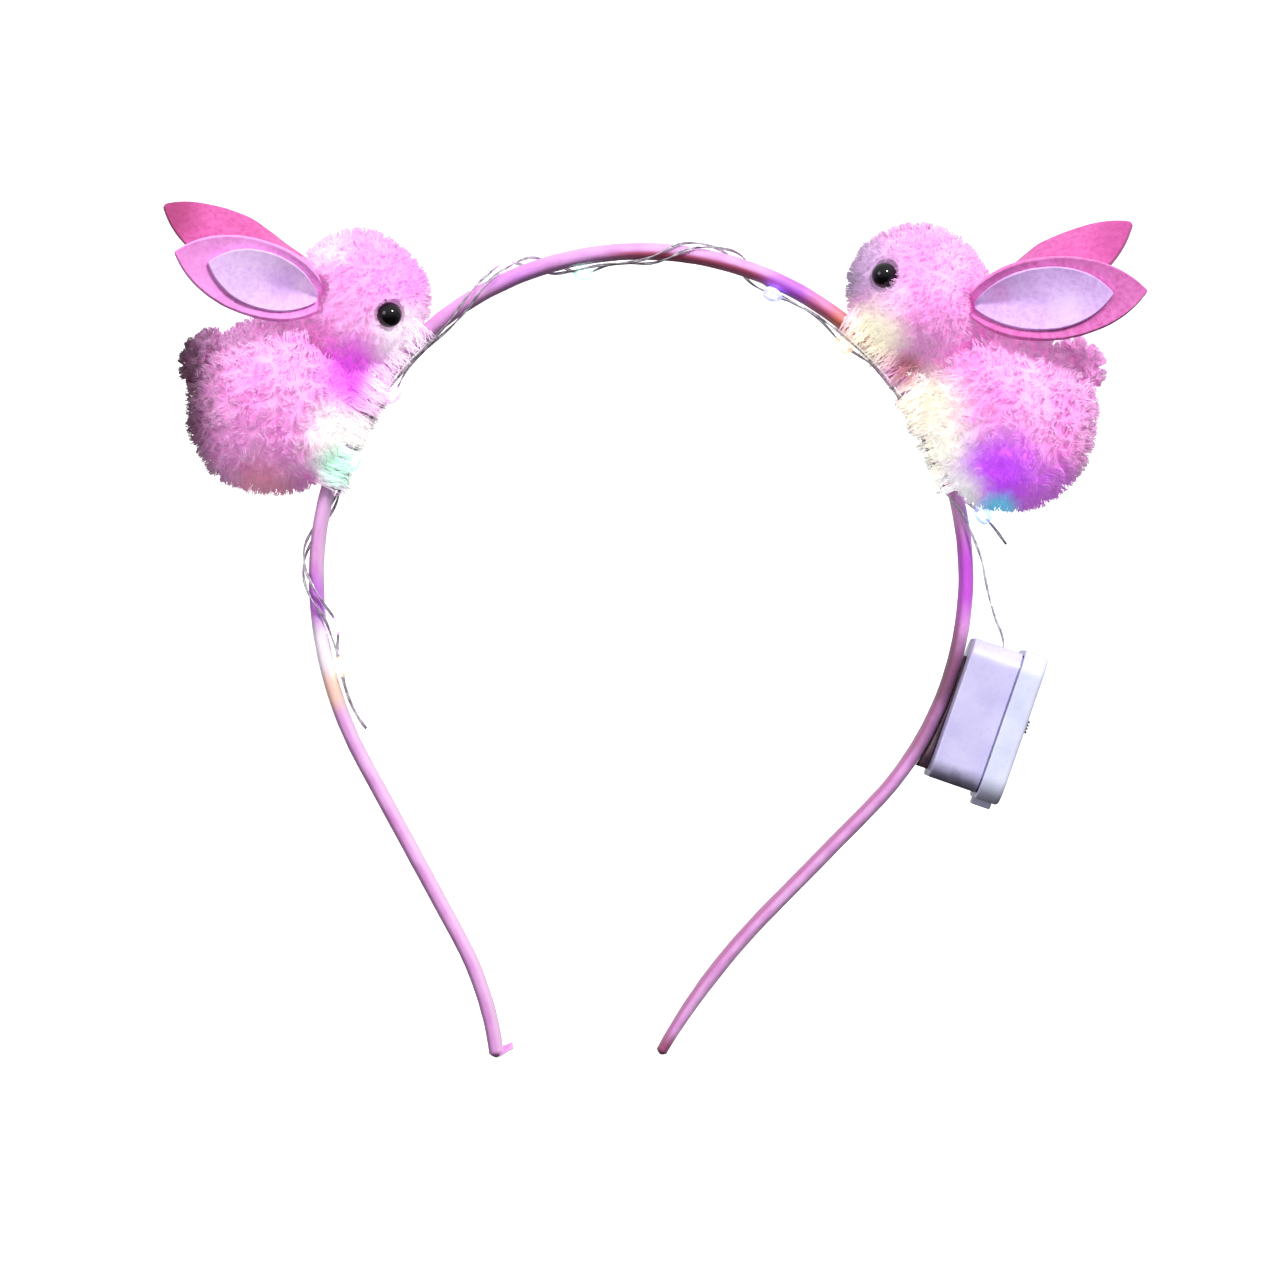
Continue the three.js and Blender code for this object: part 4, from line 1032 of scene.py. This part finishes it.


# Yarn: darker at the roots and on the core and paler at the cut ends, a painted shade deep between
# the tufts; some ends are lighter at random.
yarn, yarn_in, yarn_out = new_group(
    "Brushed yarn", dict(Root="Color", End="Color", Bright="Color"), dict(Colour="Color"))
tip = add_node(yarn, "Attribute", attribute_name="tip").outputs["Fac"]
end_shade = add_node(yarn, "Attribute", attribute_name="end_shade").outputs["Fac"]
rise = ranged(yarn, tip, 0.0, 0.85, low=0.25)
colour = blended(yarn, rise, yarn_in["Root"], yarn_in["End"])
lift = multiplied(yarn, ranged(yarn, speckled(yarn, 150.0, 4.0), 0.35, 0.65), end_shade)
set_inputs(yarn, yarn_out, Colour=blended(yarn, lift, colour, yarn_in["Bright"]))
# A painted glow: the yarn gives off a share of its own colour as light, at this strength.
PAINTED_GLOW_SHARE, PAINTED_GLOW_STRENGTH = 0.55, 0.46


def fur_material(name, painted_lights):
    """Yarn with its painted light and painted shade, and a painted glow: a share of its colour
    given off as light, more where its painted light is pale and less where its painted shade is
    dark.
    """
    material, tree, shader = new_material(name, roughness=0.85)
    base = add_node(tree, "Group", node_tree=yarn, Root="f08ada", End="fdacee", Bright="ffcdf7")
    faint = blended(tree, PAINTED_GLOW_SHARE, "000000", base)
    set_inputs(tree, shader, Base_Color=lit(tree, base, painted_lights),
               Normal=bumped(tree, speckled(tree, 1300.0, 3.0), 0.4, 0.0002),
               Sheen_Weight=0.15, Sheen_Roughness=0.5, Specular_IOR_Level=0.15,
               Emission_Color=lit(tree, faint, painted_lights), Emission_Strength=PAINTED_GLOW_STRENGTH)
    return material


# Painted light and painted shade on the left rabbit's yarn: a dark painted shadow down its tail and
# left side, and pale, mint and magenta painted lamp light on its belly, chin, muzzle and head.
LEFT_PAINTED_LIGHT = [
    (-85.3, -14, 11, "44283a", 0.95), (-85.6, -23, 12.5, "40242f", 0.95),
    (-85, -32, 12, "40242f", 0.95), (-81, -41.5, 8.5, "54303e", 0.9),
    (-68, -42, 8, "e79aa8", 0.6), (-52.8, -33, 10.5, "fffaf8", 1.0), (-54, -38, 6, "c8ffe6", 0.9),
    (-51.5, -21, 9, "ee62f2", 0.85), (-41.5, -15.5, 10, "fff0ff", 0.85),
    (-46, -24, 6, "ffe6ff", 0.8),
    (-57, 2.5, 7, "fbe0ff", 0.6), (-43.5, -3, 8, "ee8cff", 0.5),
]
# Painted light and painted shade on the right rabbit's yarn: greyer painted shade round its face
# and under its chin, and cream, violet, white and blue painted lamp light on its belly and lower
# body.
RIGHT_PAINTED_LIGHT = [
    (39.5, -1.5, 10, "b39cc0", 0.8), (36.2, -4.5, 4.5, "8d8098", 0.8),
    (41, -14.5, 9, "fff8e2", 1.0),
    (45.5, -8, 5, "ffe0ff", 0.5), (50.5, -27, 10, "fff6e2", 1.0), (53.5, -36.5, 11, "fffdf0", 1.0),
    (47.5, -20.5, 4.5, "a8646a", 0.8), (63.5, -39.5, 11, "cf52ff", 0.95),
    (73, -41.5, 8, "dc66ff", 0.5),
    (56.5, -43.5, 8, "ffffff", 0.95), (64.2, -45.5, 5, "79dcff", 1.0),
]
# Where the yarn hangs over the band's edges: stations, root out, tip out, root front, tip front,
# slant along the band and count; the second row of each body closes the neck
HUNG = {
    "left_body": [((-75.5, -55), (1.5, 4.5), (-3.9, -2.6), (3.6, 6.5), (3.2, 4.0), 0, 1100),
                  ((-61, -58.5), (1, 8), (1, 7.5), (0.2, 5.5), (0.2, 5), 4.2, 260)],
    "left_head": [((-58, -42), (1.5, 4), (-2.6, -1.4), (3.6, 6), (3.2, 3.9), 0, 520)],
    "right_body": [((56.5, 76), (1.5, 4.5), (-3.9, -2.6), (3.6, 6.5), (3.2, 4.0), 0, 900),
                   ((59.5, 62), (1, 8), (1, 7.5), (0.2, 5.5), (0.2, 5), -4.2, 260)],
    "right_head": [((39, 57.5), (1.5, 4), (-2.8, -1.4), (3.6, 6), (3.2, 3.9), 0, 520)],
}
lower_fur = in_the_way(ears + eyes + [ribbon])
for name, painted_lights in (("left", LEFT_PAINTED_LIGHT), ("right", RIGHT_PAINTED_LIGHT)):
    fur = fur_material(f"{name}_rabbit_yarn", painted_lights)
    for part_name, settings in FUR.items():
        node = f"{name}_{part_name}"
        pompom = furry(f"{node}_pompom", node, settings, HUNG.get(node), lower_fur)
        hand_over(pompom, fur, "headband", "fur", node)


# ---- The lamps ----
# Ten tiny lamp chips sit on the wire, each cast in a clear drop of resin. They are lit, and
# each chip keeps its own colour.
DROP_LENGTH, DROP_DIAMETER = 3.8, 2.6
DROP_PROFILE = [(0, 0.5), (0.2, 0.47), (0.42, 0.38), (0.5, 0.2), (0.5, -0.02), (0.44, -0.22),
                (0.3, -0.38), (0.16, -0.47), (0, -0.5)]
CHIP_SIZE, CHIP_MIDDLE = (1.0, 0.5, 1.6), (0, -0.1, 0)
LAMPS_OUT = [(73.3, "fff3c4"), (25.6, "7d8cff"), (-24, "ff9cf2"), (-69.6, "8dffc8"),
             (-109, "ffd9a0")]
LAMPS_BACK = [(-101.2, "c79cff"), (-55.1, "f58cff"), (-11, "8dffd0"), (42.1, "ffc48a"),
              (81.6, "5f9bff")]
BLOCK_FACES = [(3, 2, 1, 0), (4, 5, 6, 7), (0, 1, 5, 4), (1, 2, 6, 5), (2, 3, 7, 6), (3, 0, 4, 7)]


def lamps_on(route, stations, first):
    """The place on the wire's route, and the colour, of each lamp on one run of it."""
    places = [point[0] for point in route]
    return [(first + places.index(station), colour) for station, colour in stations]


def glowing(name, first, second, scale, detail, roughness, strength, **inputs):
    """A material clouded between two colours, which gives off its own light."""
    material, tree, shader = new_material(name, roughness=roughness)
    colour = blended(tree, speckled(tree, scale, detail), first, second)
    set_inputs(tree, shader, Base_Color=colour, Emission_Color=colour,
               Emission_Strength=strength, **inputs)
    return material


def break_edges(piece, width, segments, angle=None):
    """Bevels a piece's edges, or only those that are sharper than an angle."""
    edge = piece.modifiers.new("edge", "BEVEL")
    edge.width = width * MM
    edge.segments = segments
    if angle:
        edge.limit_method = "ANGLE"
        edge.angle_limit = math.radians(angle)


def block(name, frame, size, middle, bevel=0.0, segments=3):
    """A block with broken edges, in millimetres in a frame."""
    sx, sy, sz = (s / 2 for s in size)
    corners = [(x, y, z) for z in (-sz, sz)
               for x, y in ((-sx, -sy), (sx, -sy), (sx, sy), (-sx, sy))]
    points = [frame @ (MM * (Vector(middle) + Vector(corner))) for corner in corners]
    piece = new_piece(name, points, BLOCK_FACES, smooth=False)
    if bevel:
        break_edges(piece, bevel, segments)
    return piece


drop_profile = [(DROP_DIAMETER * MM * r, DROP_LENGTH * MM * h) for r, h in DROP_PROFILE]
lamps = lamps_on(RUN_OUT, LAMPS_OUT, len(LEAD))
lamps += lamps_on(RUN_BACK, LAMPS_BACK, len(LEAD) + len(RUN_OUT) + len(TURN_BACK))
for number, (index, colour) in enumerate(lamps, 1):
    node = f"light_drop_{number:02d}"
    step = index * WIRE_STEPS
    place = facing(wire_line[step], Vector(wire_line[step + 1] - wire_line[step - 1]))
    drop = lathe(f"{node}_resin", drop_profile, place, 20)
    resin = glowing(f"{node}_clear_resin", "ffffff", colour, 700.0, 2.0, 0.06, 0.35,
                    Transmission_Weight=0.6, IOR=1.45)
    hand_over(drop, resin, "headband", "clear_resin", node)
    chip = block(f"{node}_chip", place, CHIP_SIZE, CHIP_MIDDLE, 0.1, segments=2)
    lit_chip = glowing(f"{node}_lit_chip", colour, "ffffff", 2200.0, 1.0, 0.4, 7.0)
    hand_over(chip, lit_chip, "headband", "clear_resin")


# ---- The battery box ----
# A moulded box of lavender-white plastic with a press-on cover. The body is glued to the
# band by its flat back, the cover closes over its rim with a pry tab at its lower end,
# and the switch's knob stands out through a slot in the cover.
BOX_DEPTH, BOX_HEIGHT, BOX_FLOOR, BOX_CORNER = 24, 8.9, 1, 3.6
RIM_HEIGHT, RIM_STEP = 2, 0.6
COVER_OVERHANG, COVER_HEIGHT, COVER_TOP = 0.9, 4.6, 1
TAB_WIDTH, TAB_REACH, TAB_THICKNESS = 4.5, 1.2, 3.6
SWITCH_SIDE, KNOB_LENGTH, KNOB_WIDTH, KNOB_TRAVEL, KNOB_PROUD = -6.4, 2.4, 1.6, 2, 0.7
CORNER_STEPS = 9
BOARD_THICKNESS = 1.1
BOARD_TOP = BOX_HEIGHT + COVER_HEIGHT - COVER_TOP - GAP - BOARD_THICKNESS - GAP
EDGE_STEPS = 4


def oblong_ring(outline, height, inset=0.0, corner_inset=0.0):
    """A ring round an outline (length, depth, corner), or inside it, at a height."""
    length, depth, corner = outline
    corner -= corner_inset
    x, y = length / 2 - inset - corner, depth / 2 - inset - corner
    ring = []
    for sx, sy, first in ((1, 1, 0), (-1, 1, 90), (-1, -1, 180), (1, -1, 270)):
        for i in range(CORNER_STEPS + 1):
            turn = math.radians(first + 90 * i / CORNER_STEPS)
            ring.append((sx * x + corner * math.cos(turn),
                         sy * y + corner * math.sin(turn), height))
    return ring


def grown(outline, by):
    length, depth, corner = outline
    return length + 2 * by, depth + 2 * by, corner + by


def moulded(name, rings):
    """A closed shell through rings of equal count, from its outside to its inside."""
    points = [box_point(*p) for ring in rings for p in ring]
    return new_piece(name, points, ring_faces(len(rings), len(rings[0])))


def rounded_edge(outline, height, radius):
    """Rings of a quarter-round edge, from the flat end to the side wall above or below."""
    rings = []
    for i in range(EDGE_STEPS + 1):
        turn = math.radians(90 * i / EDGE_STEPS)
        inward = abs(radius) * (1 - math.sin(turn))
        rise = radius * (1 - math.cos(turn))
        rings.append(oblong_ring(outline, height + rise, inward, inward * 0.8))
    return rings


def rod(name, start, end, radius, sides):
    line = np.array([tuple(box_point(*start)), tuple(box_point(*end))])
    return new_piece(name, *tube_parts(line, [(0, 0)] * 2, radius * MM, sides))


def fit_together(piece, tool, operation):
    """Joins a tool to a piece or cuts it out, and takes the tool away."""
    change = piece.modifiers.new("fit", "BOOLEAN")
    change.object = tool
    change.operation = operation
    change.solver = "EXACT"
    bpy.context.view_layer.update()
    flattened(piece)
    bpy.data.objects.remove(tool)


outer = (BOX_LENGTH, BOX_DEPTH, BOX_CORNER)
rim, inner = grown(outer, -RIM_STEP), grown(outer, -BOX_WALL)
rim_top = BOX_HEIGHT + RIM_HEIGHT
box_body = moulded("box_body_shell", rounded_edge(outer, 0, 0.35) + [
    oblong_ring(outer, BOX_HEIGHT / 2), oblong_ring(outer, BOX_HEIGHT - 0.12),
    oblong_ring(outer, BOX_HEIGHT, 0.12, 0.1), oblong_ring(rim, BOX_HEIGHT),
    oblong_ring(rim, rim_top - 0.2), oblong_ring(rim, rim_top, 0.2, 0.2),
    oblong_ring(inner, rim_top), oblong_ring(inner, BOX_FLOOR + 0.5),
    oblong_ring(inner, BOX_FLOOR, 0.5, 0.4)])
hole = rod("hole_tool", (-BOX_LENGTH / 2 - 2, LEAD_HOLE_SIDE, LEAD_HOLE_HEIGHT),
           (-BOX_LENGTH / 2 + 2.2, LEAD_HOLE_SIDE, LEAD_HOLE_HEIGHT), 0.69, 16)
fit_together(box_body, hole, "DIFFERENCE")

cover, room = grown(outer, COVER_OVERHANG), grown(rim, GAP)
cover_base, cover_high = BOX_HEIGHT + GAP, BOX_HEIGHT + COVER_HEIGHT
cover_inside = cover_high - COVER_TOP
box_cover = moulded("box_cover_shell", rounded_edge(cover, cover_high, -0.7) + [
    oblong_ring(cover, cover_high - COVER_HEIGHT / 2), oblong_ring(cover, cover_base + 0.2),
    oblong_ring(cover, cover_base, 0.2, 0.2), oblong_ring(room, cover_base),
    oblong_ring(room, cover_inside - 0.3), oblong_ring(room, cover_inside, 0.3, 0.2)])
box_cover.data.flip_normals()
slot_size = (KNOB_LENGTH + KNOB_TRAVEL + 2 * GAP, KNOB_WIDTH + 2 * GAP, 4)
slot = block("slot_tool", BOX_FRAME, slot_size, (0, SWITCH_SIDE, cover_high))
fit_together(box_cover, slot, "DIFFERENCE")
tab = block("tab_tool", BOX_FRAME, (TAB_REACH + 1, TAB_WIDTH, TAB_THICKNESS),
            (cover[0] / 2 + (TAB_REACH - 1) / 2, 0, cover_base + TAB_THICKNESS / 2), 0.35)
flattened(tab)
fit_together(box_cover, tab, "UNION")
# Four posts under the cover, each with a thinner pin that goes through the board
for x in (-8, 8):
    for y in (-6.5, 6.5):
        for name, foot, top, radius, sides in (
                ("post_tool", BOARD_TOP + GAP, cover_inside + 0.4, 1.5, 20),
                ("pin_tool", BOARD_TOP - 1, BOARD_TOP + 1, 0.8, 16)):
            fit_together(box_cover, rod(name, (x, y, foot), (x, y, top), radius, sides), "UNION")
for shell in (box_body, box_cover):
    break_edges(shell, 0.12, 2, angle=50)
    keep = shell.modifiers.new("flat_faces", "WEIGHTED_NORMAL")
    keep.keep_sharp = True
    shell.data.shade_smooth()


def plastic(name, dark, light, painted_lights):
    """Moulded plastic: clean, with faint flow marks and a light gloss, and any listed painted shade
    laid over its colour.
    """
    material, tree, shader = grained(name, dark, light, 160, 0.24, 0.4, bump=0.06, depth=0.00003)
    colour = shader.inputs["Base Color"].links[0].from_socket
    set_inputs(tree, shader, Base_Color=lit(tree, colour, painted_lights), Coat_Weight=0.25,
               Coat_Roughness=0.15, Subsurface_Weight=0.12, Subsurface_Radius=(0.6, 0.6, 0.7),
               Subsurface_Scale=0.001)
    return material


# Painted shade on the lower end of the box body.
BOX_SHADE = [(52, -95.5, 6.5, "57576a", 0.95), (57, -97, 6.5, "57576a", 0.95)]
hand_over(box_body, plastic("box_plastic", "c6c1ec", "d4d0f5", BOX_SHADE),
          "headband", "box_plastic", "box_body")
hand_over(box_cover, plastic("cover_plastic", "d3d8f2", "e0e5fa", []),
          "cover", "cover_plastic", "box_cover")

# The knob: a small ribbed block, moulded in dark plastic
knob_base, knob_high = BOARD_TOP + 2 * GAP + 0.4, cover_high + KNOB_PROUD
knob = block("switch_knob_cap", BOX_FRAME, (KNOB_LENGTH, KNOB_WIDTH, knob_high - knob_base),
             (-KNOB_TRAVEL / 2, SWITCH_SIDE, (knob_high + knob_base) / 2), 0.18)
flattened(knob)
for across in (-0.6, 0, 0.6):
    groove = block("groove_tool", BOX_FRAME, (0.25, 3, 0.5),
                   (across - KNOB_TRAVEL / 2, SWITCH_SIDE, knob_high))
    fit_together(knob, groove, "DIFFERENCE")
dark_plastic, _, _ = grained("knob_plastic", "45444a", "5a595f", 500, 0.4, 0.6)
hand_over(knob, dark_plastic, "knob", "knob_plastic", "switch_knob")


# ---- Inside the box ----
# Two coin cells lie on a brass contact, a bent brass spring presses on the upper one, and
# a small green board under the cover carries the switch, the flasher chip and a resistor.
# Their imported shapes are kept, with their edges broken and their own finishes.
cell_steel, _, _ = grained("cell_steel", "a9acb2", "dfe1e5", 260, 0.16, 0.34, metallic=1.0)
brass, _, _ = grained("contact_brass", "a88740", "e3c274", 500, 0.2, 0.42, metallic=1.0)
can_steel, _, _ = grained("switch_can", "84878d", "b5b8be", 600, 0.25, 0.45, metallic=1.0)
chip_resin, _, _ = grained("chip_resin", "09090b", "19191d", 700, 0.25, 0.5, bump=0.25)
resistor_body, _, _ = grained("resistor_body", "2e211c", "4a382f", 1500, 0.45, 0.7)

# The board has copper tracks under its green lacquer
board, tree, shader = grained("board_lacquer", "1f5a38", "2f7a4c", 420, 0.28, 0.42)
where = add_node(tree, "TexCoord").outputs["Object"]
tracks = add_node(tree, "TexBrick", Vector=where, Scale=260.0, Mortar_Size=0.05,
                  Mortar_Smooth=0.1).outputs["Fac"]
under = shader.inputs["Base Color"].links[0].from_socket
set_inputs(tree, shader, Base_Color=blended(tree, tracks, under, "6fa05c"))

INSIDE = {
    "coin_cell_1": (cell_steel, 0.2), "coin_cell_2": (cell_steel, 0.2),
    "contact_plate": (brass, 0.05), "contact_spring": (brass, 0.05),
    "circuit_board": (board, 0.08), "switch_frame": (can_steel, 0.08),
    "flasher_chip": (chip_resin, 0.0), "resistor": (resistor_body, 0.08),
}
for node, (material, width) in INSIDE.items():
    dress(NODES[node], material)
    if width:
        break_edges(NODES[node], width, 2, angle=40)


# ---- The room ----
# A pale sweep that serves as floor and backdrop, a large soft lamp above on the right, a
# weak one on the left, and dim light from below.
SWEEP_HALF, SWEEP_FRONT, SWEEP_BACK, SWEEP_ROUND, SWEEP_TOP = 3.2, -1.6, 1.0, 0.8, 2.6
SWEEP_STEPS = 24
BELOW = 0.0005      # how far the floor lies under the headband's ends
floor_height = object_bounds()[0].z - BELOW
sweep_profile = [(SWEEP_FRONT, 0), (SWEEP_BACK, 0)]
for i in range(1, SWEEP_STEPS + 1):
    turn = math.radians(90 * i / SWEEP_STEPS)
    sweep_profile.append((SWEEP_BACK + SWEEP_ROUND * math.sin(turn),
                          SWEEP_ROUND * (1 - math.cos(turn))))
sweep_profile.append((SWEEP_BACK + SWEEP_ROUND, SWEEP_TOP))
sweep_points = [(x, y, floor_height + z) for y, z in sweep_profile
                for x in (-SWEEP_HALF, SWEEP_HALF)]
sweep = new_piece("pale_sweep", sweep_points, [
    (2 * i, 2 * i + 1, 2 * i + 3, 2 * i + 2) for i in range(len(sweep_profile) - 1)])
paper, tree, shader = grained("pale_paper", "f4f4f6", "fbfbfc", 4, 0.85, 0.95)
set_inputs(tree, shader, Emission_Color="ffffff", Emission_Strength=0.75)
dress(sweep, paper)
sweep.visible_diffuse = False
sweep.visible_glossy = False


def soft_lamp(name, place, aim, size, power, colour):
    data = bpy.data.lights.new(name, "AREA")
    data.shape = "DISK"
    data.size = size
    data.energy = power
    data.color = colour
    lamp = bpy.data.objects.new(name, data)
    lamp.location = place
    lamp.rotation_euler = (Vector(aim) - Vector(place)).to_track_quat("-Z", "Y").to_euler()
    bpy.context.scene.collection.objects.link(lamp)


middle = (0, 0, -0.05)
soft_lamp("key_lamp", (0.45, -0.75, 0.6), middle, 0.24, 9.5, (1, 0.98, 0.99))
soft_lamp("side_lamp", (-0.7, -0.6, 0.25), middle, 0.5, 2.5, (1, 0.96, 1))
world = bpy.data.worlds.new("studio")
bpy.context.scene.world = world
world.use_nodes = True
tree = world.node_tree
direction = add_node(tree, "TexCoord").outputs["Generated"]
height = add_node(tree, "SeparateXYZ", Vector=direction).outputs["Z"]
sky = blended(tree, ranged(tree, height, -0.5, 0.6), "4a424a", "ffffff")
set_inputs(tree, tree.nodes["Background"], Color=sky, Strength=0.85)
